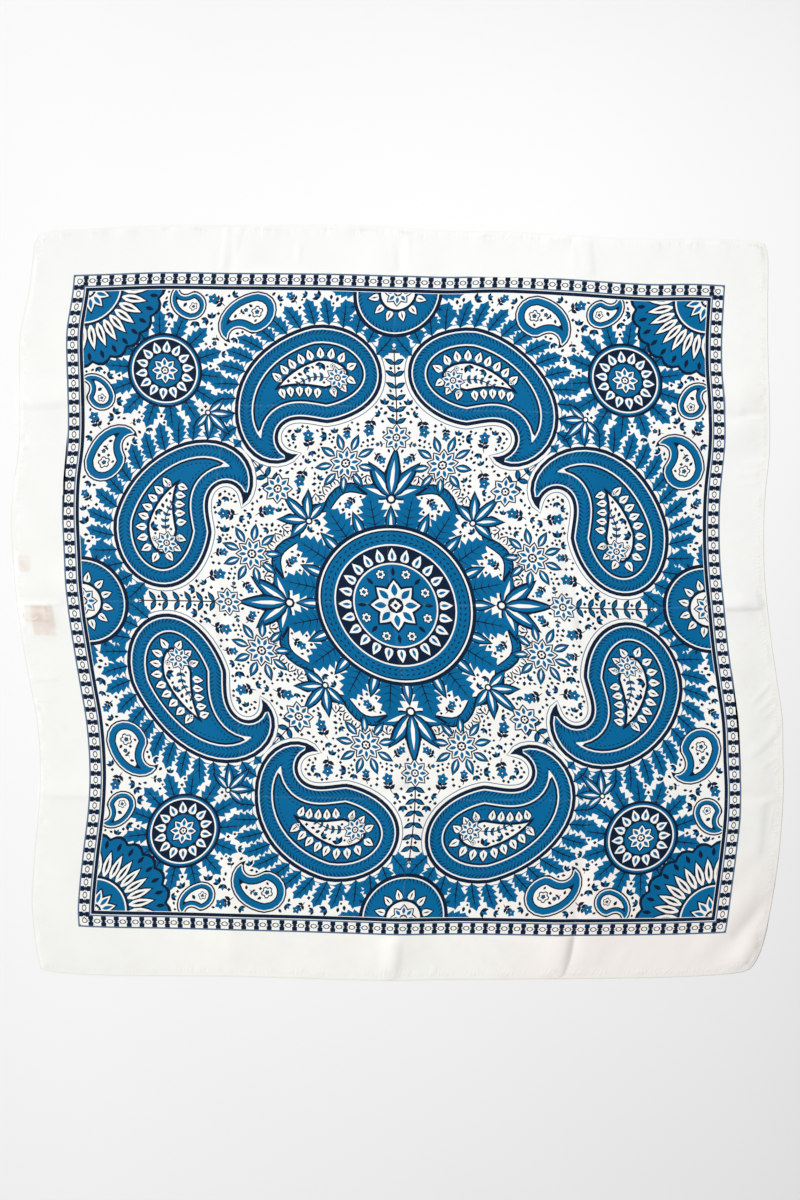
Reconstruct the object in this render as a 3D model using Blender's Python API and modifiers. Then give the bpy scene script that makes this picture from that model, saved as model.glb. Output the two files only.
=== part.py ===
"""A square printed silk bandana laid flat, with four turned hems and blank label tabs.

The cloth is worked out in two steps. Its cut is a true square. Short tables then say how that
square lies: how its sides sway in the plane, where it keeps its packing creases, and where a soft
fold or a corner stands off the surface. Hems and labels are made from the same points, lower down.
"""

import math
from collections import namedtuple

import bmesh
import bpy

MM = 0.001

# Driving sizes, in metres
SIDE = 0.700  # finished side of the square, edge to edge
WALL = 1.0 * MM  # cloth
GAP = 0.3 * MM  # between pieces that meet
HEM_WIDTH = 5.0 * MM
HEM_EASE = 5.0 * MM  # the panel comes down to the surface this far inside its hem
LABEL_EASE = 10.0 * MM  # the panel stays up this far round a label, then comes down over as much
CREASE_REACH = 44.0 * MM  # from a packing crease to the flat cloth beside it
TURN_REACH = 20.0 * MM  # length over which a crease changes from ridge to valley
GRID = 27.0 * MM  # widest spacing between two rows of points
NEAREST = 3.5 * MM  # rows of points closer than this are made one

HALF = SIDE / 2
LAYER = WALL + GAP

# How far each side of the cut sways from its straight line, millimetres, + is towards +X
Sway = namedtuple("Sway", "place left right")
SIDES = [
    Sway(*row)
    for row in (
        (-350, 15.0, -21.0),
        (-320, 11.0, -11.0),
        (-285, 8.0, -3.0),
        (-240, 10.0, 4.0),
        (-182, 15.5, 9.6),
        (-145, 16.0, 9.3),
        (-110, 13.0, 8.6),
        (-75, 6.5, 4.0),
        (-40, 0.5, -1.0),
        (0, -5.4, -5.6),
        (35, -8.5, -8.3),
        (75, -10.5, -8.7),
        (110, -8.0, -7.0),
        (145, -3.5, -3.5),
        (182, -2.5, -3.2),
        (250, -2.5, -4.9),
        (290, 4.7, -5.0),
        (320, 8.5, -4.6),
        (350, 11.5, -5.0),
    )
]

# The same for the two ends, + is towards +Y
Drift = namedtuple("Drift", "place bottom top")
ENDS = [
    Drift(*row)
    for row in (
        (-350, 6.0, -5.0),
        (-315, 3.2, -3.2),
        (-275, 1.2, -1.3),
        (-225, 0.0, 1.0),
        (-161, -0.4, 0.9),
        (-100, -2.0, 1.2),
        (-45, -3.5, 0.9),
        (0, -4.2, -1.3),
        (50, -3.4, -4.7),
        (100, -2.4, -5.0),
        (166, -1.9, -8.6),
        (235, -1.3, -12.1),
        (280, -0.3, -11.3),
        (315, 2.6, -12.6),
        (350, 9.0, -14.0),
    )
]

# Packing creases of a square folded in quarters both ways, in millimetres. Each has a height for
# every quarter that it crosses, from the left or the bottom: + stands up as a ridge, - is a valley
# between two low banks, because neighbouring quarters were folded opposite ways.
Crease = namedtuple("Crease", "runs place first second third fourth")
CREASES = [
    Crease(*row)
    for row in (
        ("up", -161, 2.0, -1.3, 1.6, -1.5),
        ("up", 0, 3.4, -1.6, 2.2, -1.8),
        ("up", 166, -2.6, 1.8, -1.4, 2.1),
        ("across", -182, 2.8, -1.4, 1.8, -2.4),
        ("across", 0, -1.9, 2.3, -1.5, 2.8),
        ("across", 182, 2.6, -1.8, 1.5, -2.7),
    )
]

# Soft folds, as lines on the cut with a round top, in millimetres
Fold = namedtuple("Fold", "from_x from_y to_x to_y rise reach")
FOLDS = [
    Fold(*row)
    for row in (
        (372, -270, 292, -346, 4.6, 26),  # rolls round the low right corner
        (352, -222, 262, -318, 2.2, 22),
        (-316, -270, -268, -346, 2.4, 26),  # low left corner
        (362, -92, 318, -150, 2.0, 18),
        (336, -186, 338, -252, 2.1, 16),
        (-354, 118, -326, 72, 1.8, 18),
        (-60, -352, -78, -312, 1.6, 20),
        (236, 352, 216, 316, 1.5, 22),
        (-282, 20, -214, 62, 1.5, 34),
        (58, -98, 116, -72, 1.6, 32),
        (-92, 262, -38, 250, 1.4, 34),
        (250, 96, 232, 148, 1.5, 30),
    )
]

# Corners that stand off the surface, and how far each is drawn in, millimetres
Corner = namedtuple("Corner", "across up lift reach drawn_in")
CORNERS = [
    Corner(*row)
    for row in (
        (-1, 1, 2.0, 44, 3.4),
        (1, 1, 3.2, 36, 2.4),
        (-1, -1, 2.6, 50, 1.6),
        (1, -1, 4.5, 62, 0.6),
    )
]
CORNER_DRAW_REACH = 14.0 * MM

# Label tabs caught in the left hem, on the cut, in millimetres, with the layers that lie under each
Label = namedtuple("Label", "name left bottom right top layers_under")
LABELS = [
    Label(*row)
    for row in (
        ("label_long", -337.5, -32, -316.5, -4, 0),
        ("label_wide", -344.7, -19, -321.5, -4, 1),
        ("label_end", -344.7, 28, -334, 43, 0),
    )
]

# (base colour, roughness) of each finish
PRINTED_SILK = ((0.22, 0.36, 0.47), 0.52)
PLAIN_SILK = ((0.88, 0.87, 0.83), 0.55)
LABEL_TAPE = ((0.80, 0.70, 0.62), 0.7)


def blend(low, high, share):
    return low + (high - low) * share


def ease(value):
    """0 below 0, 1 above 1, and a smooth step between."""
    value = min(max(value, 0.0), 1.0)
    return value * value * (3 - 2 * value)


def along(rows, place, column):
    """One column of a table read at any place, on a smooth curve through its rows."""
    place = min(max(place / MM, rows[0].place), rows[-1].place)
    step = next(i for i in range(len(rows) - 1) if place <= rows[i + 1].place)
    nearby = [rows[min(max(step + k, 0), len(rows) - 1)] for k in (-1, 0, 1, 2)]
    at = [row.place for row in nearby]
    value = [getattr(row, column) for row in nearby]
    span = at[2] - at[1]
    leave = (value[2] - value[0]) / (at[2] - at[0]) * span
    arrive = (value[3] - value[1]) / (at[3] - at[1]) * span
    t = (place - at[1]) / span
    rise = value[2] - value[1]
    curve = t * (leave + t * (3 * rise - 2 * leave - arrive + t * (leave + arrive - 2 * rise)))
    return (value[1] + curve) * MM


def laid(x, y):
    """Where a point of the cut lies in the plane."""
    sway = blend(along(SIDES, y, "left"), along(SIDES, y, "right"), (x + HALF) / SIDE)
    drift = blend(along(ENDS, x, "bottom"), along(ENDS, x, "top"), (y + HALF) / SIDE)
    for corner in CORNERS:
        far = math.hypot(x - corner.across * HALF, y - corner.up * HALF)
        pull = corner.drawn_in * MM * max(0.0, 1 - far / CORNER_DRAW_REACH)
        sway -= corner.across * pull
        drift -= corner.up * pull
    return x + sway, y + drift


def crease_height(crease, x, y):
    """Height of the cloth at one packing crease, from its signed height in each quarter."""
    if crease.runs == "up":
        away, place = abs(x - crease.place * MM), y
    else:
        away, place = abs(y - crease.place * MM), x
    away /= CREASE_REACH
    if away >= 1:
        return 0.0
    heights = (crease.first, crease.second, crease.third, crease.fourth)
    signed = heights[0]
    for quarter, height in enumerate(heights[1:], start=1):
        edge = -HALF + quarter * SIDE / 4
        signed = blend(signed, height, ease((place - edge) / TURN_REACH + 0.5))
    falling = (1 - away) ** 2
    ridge = max(signed, 0.0) * falling
    banks = max(-signed, 0.0) * 27 / 4 * away * falling
    return (ridge + banks) * MM


def fold_height(fold, x, y):
    """Height of one soft fold, round across its line and fading out at both ends."""
    dx, dy = (fold.to_x - fold.from_x) * MM, (fold.to_y - fold.from_y) * MM
    from_x, from_y = x - fold.from_x * MM, y - fold.from_y * MM
    share = min(max((from_x * dx + from_y * dy) / (dx * dx + dy * dy), 0.0), 1.0)
    away = math.hypot(from_x - share * dx, from_y - share * dy) / (fold.reach * MM)
    return fold.rise * MM * max(0.0, 1 - away * away) ** 2


def corner_height(corner, x, y):
    far = math.hypot(x - corner.across * HALF, y - corner.up * HALF) / (corner.reach * MM)
    return corner.lift * MM * max(0.0, 1 - far) ** 2


def relief(x, y):
    """Height of the laid cloth above the surface, before what lies under it is counted."""
    creases = sum(crease_height(crease, x, y) for crease in CREASES)
    folds = sum(fold_height(fold, x, y) for fold in FOLDS)
    corners = sum(corner_height(corner, x, y) for corner in CORNERS)
    return creases + folds + corners


def label_cover(label, x, y):
    """1 over a label and close round it, falling to 0 over as much again."""
    past_x = max(label.left * MM - x, x - label.right * MM, 0.0)
    past_y = max(label.bottom * MM - y, y - label.top * MM, 0.0)
    return 1 - ease(math.hypot(past_x, past_y) / LABEL_EASE - 1)


def panel_underside(x, y):
    """The panel lies on its hems and labels, and on the surface inside them."""
    inside_edge = HALF - max(abs(x), abs(y))
    over_hem = 1 - ease((inside_edge - HEM_WIDTH - GAP) / HEM_EASE)
    layers = [over_hem]
    for label in LABELS:
        layers.append((label.layers_under + 1) * label_cover(label, x, y))
    return relief(x, y) + LAYER * max(layers)


def label_underside(label):
    return lambda x, y: relief(x, y) + LAYER * label.layers_under


def rows_of_points(wanted):
    """Places from edge to edge: the wanted ones, and more where they are far apart."""
    places = []
    for place in sorted(wanted):
        if places and place - places[-1] < NEAREST:
            continue
        if places:
            parts = math.ceil((place - places[-1]) / GRID)
            start = places[-1]
            places += [start + (place - start) * k / parts for k in range(1, parts)]
        places.append(place)
    places[-1] = max(wanted)
    return places


def crease_rows(runs):
    places = [crease.place * MM for crease in CREASES if crease.runs == runs]
    shares = (-1, -0.45, -0.18, 0, 0.18, 0.45, 1)
    return [place + share * CREASE_REACH for place in places for share in shares]


def edge_rows():
    steps = (0, HEM_WIDTH + GAP, HEM_WIDTH + GAP + HEM_EASE, 24 * MM)
    return [side * (HALF - step) for step in steps for side in (-1, 1)]


def material(name, finish):
    (red, green, blue), roughness = finish
    made = bpy.data.materials.new(name)
    made.use_nodes = True
    shader = made.node_tree.nodes["Principled BSDF"]
    shader.inputs["Base Color"].default_value = (red, green, blue, 1.0)
    shader.inputs["Roughness"].default_value = roughness
    shader.inputs["Metallic"].default_value = 0.0
    return made


def sheet(name, across, up, underside, finish, collection):
    """A cloth wall on a grid of the cut, laid down and given its thickness upwards."""
    grid = bmesh.new()
    bmesh.ops.create_grid(grid, x_segments=len(across) - 1, y_segments=len(up) - 1, size=1.0)
    for point in grid.verts:
        column = round((point.co.x + 1) / 2 * (len(across) - 1))
        row = round((point.co.y + 1) / 2 * (len(up) - 1))
        x, y = across[column], up[row]
        point.co = (*laid(x, y), underside(x, y))
    mesh = bpy.data.meshes.new(name)
    grid.to_mesh(mesh)
    grid.free()
    mesh.materials.append(finish)
    mesh.shade_smooth()
    cloth = bpy.data.objects.new(name, mesh)
    collection.objects.link(cloth)
    wall = cloth.modifiers.new("wall", "SOLIDIFY")
    wall.thickness = WALL
    wall.offset = 1.0
    return cloth


def panel_rows():
    """The places across and up the cut where the panel has points."""
    label_x = [edge * MM for label in LABELS for edge in (label.left, label.right)]
    label_y = [edge * MM for label in LABELS for edge in (label.bottom, label.top)]
    around = [place + out for place in label_y for out in (-LABEL_EASE, 0, LABEL_EASE)]
    across = rows_of_points(edge_rows() + crease_rows("up") + label_x)
    up = rows_of_points(edge_rows() + crease_rows("across") + around)
    return across, up


def make_hems(across, up, finish, collection):
    """Four turned strips under the panel's edges. The side hems end short of the other two."""
    inner = HALF - HEM_WIDTH
    low, high = (-HALF, -inner), (inner, HALF)
    between = rows_within(up, -inner + GAP, inner - GAP)
    sheet("hem_bottom", across, low, relief, finish, collection)
    sheet("hem_top", across, high, relief, finish, collection)
    sheet("hem_left", low, between, relief, finish, collection)
    sheet("hem_right", high, between, relief, finish, collection)


def rows_within(rows, low, high):
    return [low] + [place for place in rows if low < place < high] + [high]


def make_labels(across, up, finish, collection):
    for label in LABELS:
        label_across = rows_within(across, label.left * MM, label.right * MM)
        label_up = rows_within(up, label.bottom * MM, label.top * MM)
        sheet(label.name, label_across, label_up, label_underside(label), finish, collection)


def centre_on_floor(collection):
    """Moves every mesh so that the middle of the whole outline is at the origin."""
    meshes = [cloth.data for cloth in collection.objects]
    points = [point.co for mesh in meshes for point in mesh.vertices]
    middle_x = (min(p.x for p in points) + max(p.x for p in points)) / 2
    middle_y = (min(p.y for p in points) + max(p.y for p in points)) / 2
    for mesh in meshes:
        for point in mesh.vertices:
            point.co.x -= middle_x
            point.co.y -= middle_y


def main():
    for left_over in list(bpy.data.objects):
        bpy.data.objects.remove(left_over, do_unlink=True)
    bandana = bpy.data.collections.new("bandana")
    bpy.context.scene.collection.children.link(bandana)
    across, up = panel_rows()
    sheet("cloth_panel", across, up, panel_underside, material("printed_silk", PRINTED_SILK), bandana)
    make_hems(across, up, material("plain_silk", PLAIN_SILK), bandana)
    make_labels(across, up, material("label_tape", LABEL_TAPE), bandana)
    centre_on_floor(bandana)


main()
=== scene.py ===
"""A printed silk bandana laid flat: its cloth, print, turned hems, stitches and blank label tapes.

The cloth starts as a true square, 700 mm a side. The print is drawn on one eighth of it and
mirrored eight times, and short tables say how the square lies: how its sides sway, where it keeps
its packing creases, and where soft folds stand off the surface. Lengths in the print and in the
tables are millimetres on the flat cut. Everything else is in metres.
"""

import cmath
import math
from collections import namedtuple

import bpy
import numpy as np
from bpy.props import FloatProperty, FloatVectorProperty, PointerProperty
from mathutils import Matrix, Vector
from mathutils.bvhtree import BVHTree
from mathutils.geometry import delaunay_2d_cdt


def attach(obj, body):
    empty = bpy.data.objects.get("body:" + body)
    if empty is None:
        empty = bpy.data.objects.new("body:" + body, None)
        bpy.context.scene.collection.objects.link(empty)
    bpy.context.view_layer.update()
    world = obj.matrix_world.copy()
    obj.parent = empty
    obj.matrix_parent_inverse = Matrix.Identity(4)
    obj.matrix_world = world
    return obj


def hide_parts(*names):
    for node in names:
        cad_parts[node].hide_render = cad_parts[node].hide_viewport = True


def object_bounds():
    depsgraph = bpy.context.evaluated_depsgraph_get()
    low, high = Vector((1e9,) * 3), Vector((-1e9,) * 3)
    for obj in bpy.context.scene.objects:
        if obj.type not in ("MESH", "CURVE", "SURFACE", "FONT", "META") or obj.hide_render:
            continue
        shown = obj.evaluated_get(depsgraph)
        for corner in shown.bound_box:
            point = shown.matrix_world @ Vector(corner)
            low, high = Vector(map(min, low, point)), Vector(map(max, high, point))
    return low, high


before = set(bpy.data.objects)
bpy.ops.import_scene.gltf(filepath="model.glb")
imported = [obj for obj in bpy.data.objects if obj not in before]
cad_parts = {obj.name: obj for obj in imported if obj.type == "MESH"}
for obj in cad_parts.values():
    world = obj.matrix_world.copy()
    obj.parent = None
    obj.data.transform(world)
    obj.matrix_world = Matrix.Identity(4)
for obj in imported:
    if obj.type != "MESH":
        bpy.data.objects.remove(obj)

bl_info = {
    "name": "Printed Silk Bandana",
    "version": (1, 0, 0),
    "blender": (4, 5, 0),
    "location": "View3D > Sidebar > Bandana",
    "description": "Lays out a square silk bandana with its print, hems, stitches and label tapes",
    "category": "Add Mesh",
}

MM = 0.001
SOLIDS_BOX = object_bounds()
BAKE_MAP = "OFBake"


def table(row_type, *rows):
    """Rows of one kind, each with its columns named."""
    return [row_type(*row) for row in rows]


# The cut and its mesh, in millimetres
HALF = 350.0
PRINT_EDGE = 307.0
FIELD_EDGE = 291.0
CREASE_REACH = 44.0
CREASE_ROUND = 0.03  # how far the crest of a crease is rounded, as a share of its reach
BANK = 27 / 4  # makes the banks beside a valley as high as the table says
TURN_REACH = 20.0  # over how long a crease changes from one quarter's height to the next
CORNER_DRAW_REACH = 14.0
HEM_INNER = 5.0
HEM_COLUMN = 4.0
FIELD_STEP = 7.0
BACK_STEP = 14.0

# How far each side of the cut sways from its straight line, + is towards +X
Sway = namedtuple("Sway", "place left right")
SIDES = table(
    Sway,
    (-350, 15.0, -21.5),
    (-344, 14.2, -16.8),
    (-327, 11.9, -9.8),
    (-307, 9.6, -5.2),
    (-285, 8.0, -1.1),
    (-240, 10.6, 5.4),
    (-182, 15.5, 9.6),
    (-145, 15.5, 9.3),
    (-110, 12.2, 8.6),
    (-75, 5.6, 4.0),
    (-40, -0.5, -1.0),
    (0, -6.2, -5.6),
    (35, -9.3, -8.3),
    (75, -11.4, -8.7),
    (110, -9.0, -7.0),
    (145, -4.3, -3.5),
    (182, -3.2, -3.2),
    (250, -3.1, -4.9),
    (290, 4.7, -5.0),
    (320, 8.5, -4.6),
    (350, 11.5, -5.0),
)

# The same for the two ends, + is towards +Y
Drift = namedtuple("Drift", "place bottom top")
ENDS = table(
    Drift,
    (-350, 5.0, -5.0),
    (-315, 1.8, -3.2),
    (-275, 0.3, -1.3),
    (-225, 0.0, 1.0),
    (-161, -0.4, 0.9),
    (-100, -2.0, 1.2),
    (-45, -3.5, 0.9),
    (0, -4.2, -1.3),
    (50, -3.4, -4.7),
    (100, -3.1, -5.0),
    (166, -2.6, -8.6),
    (235, -1.9, -12.1),
    (280, -0.8, -11.3),
    (317, 1.2, -12.7),
    (342, 3.8, -13.7),
    (350, 6.5, -14.0),
)

# The print fell a little askew on the cut: how far its left and right borders are moved towards +X ...
PRINT_SIDES = table(
    Sway,
    (-307, 0.0, 4.0),
    (-250, 1.4, 2.9),
    (-195, 3.1, 3.8),
    (-120, 3.1, 2.5),
    (-60, 3.7, 2.6),
    (10, 3.9, 3.6),
    (66, 4.7, 2.6),
    (122, 2.2, 1.7),
    (180, 1.9, 2.1),
    (234, 0.7, 0.5),
    (307, -2.2, 2.8),
)

# ... and its lower and upper borders towards +Y
PRINT_ENDS = table(
    Drift,
    (-307, 1.8, 0.3),
    (-230, 0.7, -0.6),
    (-157, -0.5, -1.2),
    (-82, -0.6, -1.9),
    (-20, -1.1, -2.0),
    (67, -1.5, 1.1),
    (142, -2.9, 1.9),
    (216, -2.9, 1.0),
    (307, -3.0, -0.4),
)

# Packing creases, with a height for every quarter that each crosses, from the left or the bottom:
# + stands up as a ridge, - is a valley between two low banks.
Crease = namedtuple("Crease", "runs place first second third fourth")
CREASES = table(
    Crease,
    ("up", -161, 2.0, -1.3, 1.6, -0.7),
    ("up", 0, 3.4, -1.6, 2.2, -0.8),
    ("up", 166, -1.7, 1.8, -1.4, 1.2),
    ("across", -182, 2.8, -1.4, 1.8, -0.9),
    ("across", 0, -1.9, 2.3, -1.5, 2.8),
    ("across", 182, 2.6, -1.8, 1.5, -2.7),
)

# Soft folds, as lines on the cut with a round top
Fold = namedtuple("Fold", "from_x from_y to_x to_y rise reach")
FOLDS = table(
    Fold,
    (374, -282, 326, -366, 2.6, 30),
    (346, -246, 293, -322, 1.0, 18),
    (-322, -262, -270, -340, 0.9, 30),
    (310, -60, 306, -280, 1.8, 40),
    (326, -192, 328, -236, 0.5, 14),
    (-350, 112, -318, 66, 0.5, 22),
    (-60, -352, -78, -312, 0.4, 24),
    (236, 352, 216, 316, 0.5, 24),
    (-282, 20, -214, 62, 1.5, 34),
    (58, -98, 116, -72, 1.6, 32),
    (-92, 262, -38, 250, 1.4, 34),
    (250, 96, 232, 148, 1.5, 30),
)

# Corners that stand off the surface, and how far each is drawn in
Corner = namedtuple("Corner", "across up lift reach drawn_in")
CORNERS = table(
    Corner,
    (-1, 1, 1.2, 44, 3.4),
    (1, 1, 1.3, 36, 3.0),
    (-1, -1, 1.8, 50, 1.6),
    (1, -1, 1.5, 62, 0.2),
)

# Short sharp creases in the plain margin. Each has its crest on a line that may sag to its right,
# and falls away to the left and to the right of it over its own distance.
Nip = namedtuple("Nip", "from_x from_y to_x to_y rise left right sag")
NIPS = table(
    Nip,
    (-168, 304, -164, 352, 0.26, 6.5, 10.0, 0.0),
    (-158, 319, -157, 347, 0.22, 8.0, 5.0, 1.0),
    (-97, 310, -96, 338, 0.16, 6.0, 5.0, 0.0),
    (9, 312, 7, 345, 0.14, 7.0, 4.0, -0.6),
    (-4, 310, -9, 336, 0.10, 5.0, 4.0, 0.0),
    (182, 308, 176, 352, 0.36, 16.0, 6.0, 0.8),
    (168, 316, 163, 345, 0.10, 6.0, 5.0, 0.0),
    (-4.5, -354, -7.5, -308, 0.95, 16.0, 10.0, 0.4),
    (34, -349, 37, -334, 0.24, 5.0, 4.0, 0.0),
    (159, -354, 161.5, -304, 1.10, 26.0, 6.5, 0.6),
    (168, -352, 170.5, -306, 0.08, 5.0, 20.0, 0.6),
    (189, -340, 194, -314, 0.10, 8.0, 6.0, 0.8),
    (212, -347, 221, -319, 0.10, 9.0, 7.0, -0.8),
    (-360, 188.6, -284, 192.4, 1.9, 24.0, 12.0, 1.2),
    (-360, 177.4, -284, 180.4, 0.30, 3.4, 18.0, 1.2),
    (-349, 262.4, -326, 261, 0.14, 4.0, 5.0, 0.6),
    (-352, 247.8, -325, 246.4, 0.16, 4.0, 5.0, 0.0),
    (-345, 237, -318, 236, 0.15, 4.0, 5.0, 0.4),
    (-340, 217, -323, 217.4, 0.10, 4.0, 4.0, 0.0),
    (-353, 144.6, -336, 144, 0.18, 5.0, 3.5, 0.0),
    (-342, 146.6, -304, 145.4, 0.13, 6.0, 6.0, 0.5),
    (-352, -2, -302, -1, 0.60, 7.0, 4.5, 0.5),
    (-340, -11.5, -327, -13.5, 0.4, 2.4, 2.4, -2.0),
    (-345, -7, -326, -8, 0.16, 2.6, 2.6, 0.5),
    (-358, -73.4, -318, -72.4, 0.30, 8.0, 3.2, 0.4),
    (-353, -94.6, -329, -93.2, 0.14, 2.6, 2.6, 0.0),
    (-352, -99.6, -331, -98.4, 0.12, 2.6, 2.6, 0.3),
    (-353, -105, -320, -121, 0.20, 5.0, 5.0, -1.2),
    (-351, -115, -330, -126, 0.16, 4.0, 4.0, -0.6),
    (-331, -125, -308, -132, 0.14, 4.0, 5.0, 0.0),
    (-354, -139, -320, -149, 0.18, 5.0, 4.0, -1.4),
    (-360, -182.4, -290, -181.4, 0.36, 20.0, 5.0, 0.0),
    (290, 181.2, 330, 182.8, 0.45, 18.0, 4.0, 0.0),
    (323, 137, 352, 138, 0.12, 4.0, 4.0, 0.0),
    (317, 127, 351, 128.4, 0.12, 4.0, 5.0, 0.4),
    (322, 117, 349, 117, 0.10, 4.0, 4.0, 0.0),
    (319, 188.2, 352, 188.8, 0.12, 8.0, 4.0, 0.0),
    (319, 180.6, 353, 179, 0.24, 6.0, 4.0, 0.0),
    (303, -1.2, 350, -0.2, 0.85, 20.0, 4.5, 0.0),
    (325, -187, 348, -184, 0.32, 9.0, 5.0, 0.6),
    (331, -184, 330.4, -244, 0.15, 5.0, 9.0, 0.0),
    (342, -188, 338.6, -218, 0.10, 3.0, 3.0, 0.0),
    (320, -94, 347, -70, 0.20, 4.5, 4.0, 1.0),
    (325, -102, 348, -84, 0.16, 4.0, 4.0, 0.6),
    (330, -108, 349, -96, 0.14, 3.5, 3.5, 0.0),
    (350, -111, 315, -144, 0.36, 6.0, 10.0, -3.0),
    (326, -156, 348, -143, 0.14, 4.0, 4.0, 0.0),
    (355, -262, 309, -316, 0.6, 12.0, 24.0, 3.0),
    (356, -300, 330, -352, 0.45, 9.0, 20.0, 2.0),
    (346, -349, 347, -327, 0.30, 5.0, 4.0, 0.0),
)
NIP_FADE = 9.0

# How much of their height the soft folds and the corners keep where the cloth is pressed
FOLDS_KEPT = 0.6
CORNERS_KEPT = 0.75

# Label tapes caught under the left margin, with the layers that lie under each and how much of its
# colour comes through the silk
Label = namedtuple("Label", "name left bottom right top layers_under shows")
LABELS = table(
    Label,
    ("label_long", -337.5, -32, -316.5, -4, 0, 0.36),
    ("label_wide", -345.2, -19, -321.5, -4, 1, 0.34),
    ("label_end", -345.0, 28, -334, 43, 0, 0.30),
)

# How much the silk rises over each layer of tape, and how far from the tape it comes down
LABEL_RISE = 0.25
LABEL_SLOPE = 5.0

# Faint brown marks at two corners: a place, how far each spreads, and how strong it is
Mark = namedtuple("Mark", "x y wide high strength")
MARKS = table(
    Mark,
    (341.5, 345, 5.0, 4.0, 0.2),
    (344.5, 337, 3.0, 7.0, 0.26),
    (344, -325, 3.4, 6.5, 0.34),
    (341, -340, 5.5, 4.0, 0.24),
    (341, -316, 8.0, 12.0, 0.16),
)

# Section of the hem under the silk: how far the cloth stands up at each distance inside its edge
Roll = namedtuple("Roll", "inside rise")
ROLL = table(
    Roll,
    (0.0, 0.02),
    (0.4, 0.04),
    (1.2, 0.09),
    (3.8, 0.22),
    (6.8, 0.14),
    (11.5, 0.06),
    (20.0, 0.0),
)

# Rows of dimples in the hem, with the depth of the deepest and how far each spreads
Pick = namedtuple("Pick", "pitch shift deepest spread")
PICKS = table(
    Pick,
    (24.0, 0.0, 0.26, 4.2),
    (9.5, 1.3, 0.15, 2.4),
)
PICKS_INSIDE = 5.6
PICKS_ACROSS = 2.4
# How much lower the back hangs than the thickness of the silk asks, away from the hems
BACK_CLEARANCE = 0.25


def display_colour(red, green, blue):
    """A colour given in 0 to 255 as a screen shows it, made linear."""
    shares = [value / 255 for value in (red, green, blue)]
    return tuple(s / 12.92 if s < 0.04045 else ((s + 0.055) / 1.055) ** 2.4 for s in shares)


def colour_property(name, description, *shown):
    return FloatVectorProperty(
        name=name,
        description=description,
        subtype="COLOR",
        size=3,
        min=0.0,
        max=1.0,
        default=display_colour(*shown),
    )


class BandanaCloth(bpy.types.PropertyGroup):
    """Sizes of the silk, its hems and its stitches."""

    silk: FloatProperty(
        name="Silk", description="Thickness of the silk", default=0.28 * MM, unit="LENGTH"
    )
    thread: FloatProperty(
        name="Thread", description="Thickness of the hem thread", default=0.26 * MM, unit="LENGTH"
    )
    stitch: FloatProperty(
        name="Stitch", description="Length of thread that shows", default=1.3 * MM, unit="LENGTH"
    )
    tape: FloatProperty(
        name="Tape", description="Thickness of a label tape", default=0.22 * MM, unit="LENGTH"
    )
    weave: FloatProperty(
        name="Weave", description="Pitch of the twill lines", default=0.55 * MM, unit="LENGTH"
    )


class BandanaColours(bpy.types.PropertyGroup):
    """Colours of the silk, the inks, the tapes and the thread."""

    ivory: colour_property("Ivory", "Undyed silk", 245, 245.5, 243.5)
    blue: colour_property("Blue", "Main ink", 5, 103, 154)
    navy: colour_property("Navy", "Dark ink", 14, 33, 58)
    grey: colour_property("Slate", "Fine line ink", 92, 114, 140)
    tape: colour_property("Tape", "Label tape", 219, 193, 175)
    thread: colour_property("Thread", "Hem thread", 242, 239, 231)


class BandanaStage(bpy.types.PropertyGroup):
    """The floor, the lights and the camera."""

    floor: colour_property("Floor", "Plain pale floor", 246, 246, 246)
    lens: FloatProperty(
        name="Lens", description="Focal length in millimetres", default=60.0, unit="CAMERA"
    )
    height: FloatProperty(
        name="Height", description="Camera above the floor", default=1.867, unit="LENGTH"
    )
    key: FloatProperty(
        name="Key", description="Power of the light from one side", default=474.0, unit="POWER"
    )
    top: FloatProperty(
        name="Top", description="Power of the light from above", default=53.7, unit="POWER"
    )
    fill: FloatProperty(name="Fill", description="Strength of the light all round", default=0.187)


# How the cloth lies


def ease(value):
    """0 below 0, 1 above 1, and a smooth step between."""
    value = np.clip(value, 0.0, 1.0)
    return value * value * (3 - 2 * value)


def inside_edge(x, y):
    """How far points of the cut lie inside its nearest edge."""
    return np.clip(HALF - np.maximum(np.abs(x), np.abs(y)), 0.0, None)


def growing(at_edge, inside, reach, full=1.0):
    """A share that grows from its value at the edge of the cloth to its full one inside."""
    return at_edge + (full - at_edge) * ease(inside / reach)


def towards(away, sideways, soft=40):
    """1 in the quarter of the cut that lies away to one side, fading to 0 at its two diagonals."""
    return ease((away - np.abs(sideways)) / soft)


def along(rows, place, column):
    """One column of a table read at many places, on a smooth curve through its rows."""
    at = np.array([row.place for row in rows], float)
    value = np.array([getattr(row, column) for row in rows], float)
    place = np.clip(place, at[0], at[-1])
    step = np.clip(np.searchsorted(at, place) - 1, 0, len(at) - 2)
    before = np.maximum(step - 1, 0)
    after = np.minimum(step + 2, len(at) - 1)
    span = at[step + 1] - at[step]
    rise = value[step + 1] - value[step]
    leave = (value[step + 1] - value[before]) / (at[step + 1] - at[before]) * span
    arrive = (value[after] - value[step]) / (at[after] - at[step]) * span
    t = (place - at[step]) / span
    return value[step] + t * (leave + t * (3 * rise - 2 * leave - arrive + t * (leave + arrive - 2 * rise)))


def between_edges(sides, ends, half, x, y):
    """Moves towards +X and +Y, shared out between what the tables give for opposite edges."""
    share_x, share_y = (np.clip(0.5 + place / (2 * half), 0.0, 1.0) for place in (x, y))
    left, right = along(sides, y, "left"), along(sides, y, "right")
    bottom, top = along(ends, x, "bottom"), along(ends, x, "top")
    return left + (right - left) * share_x, bottom + (top - bottom) * share_y


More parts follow.
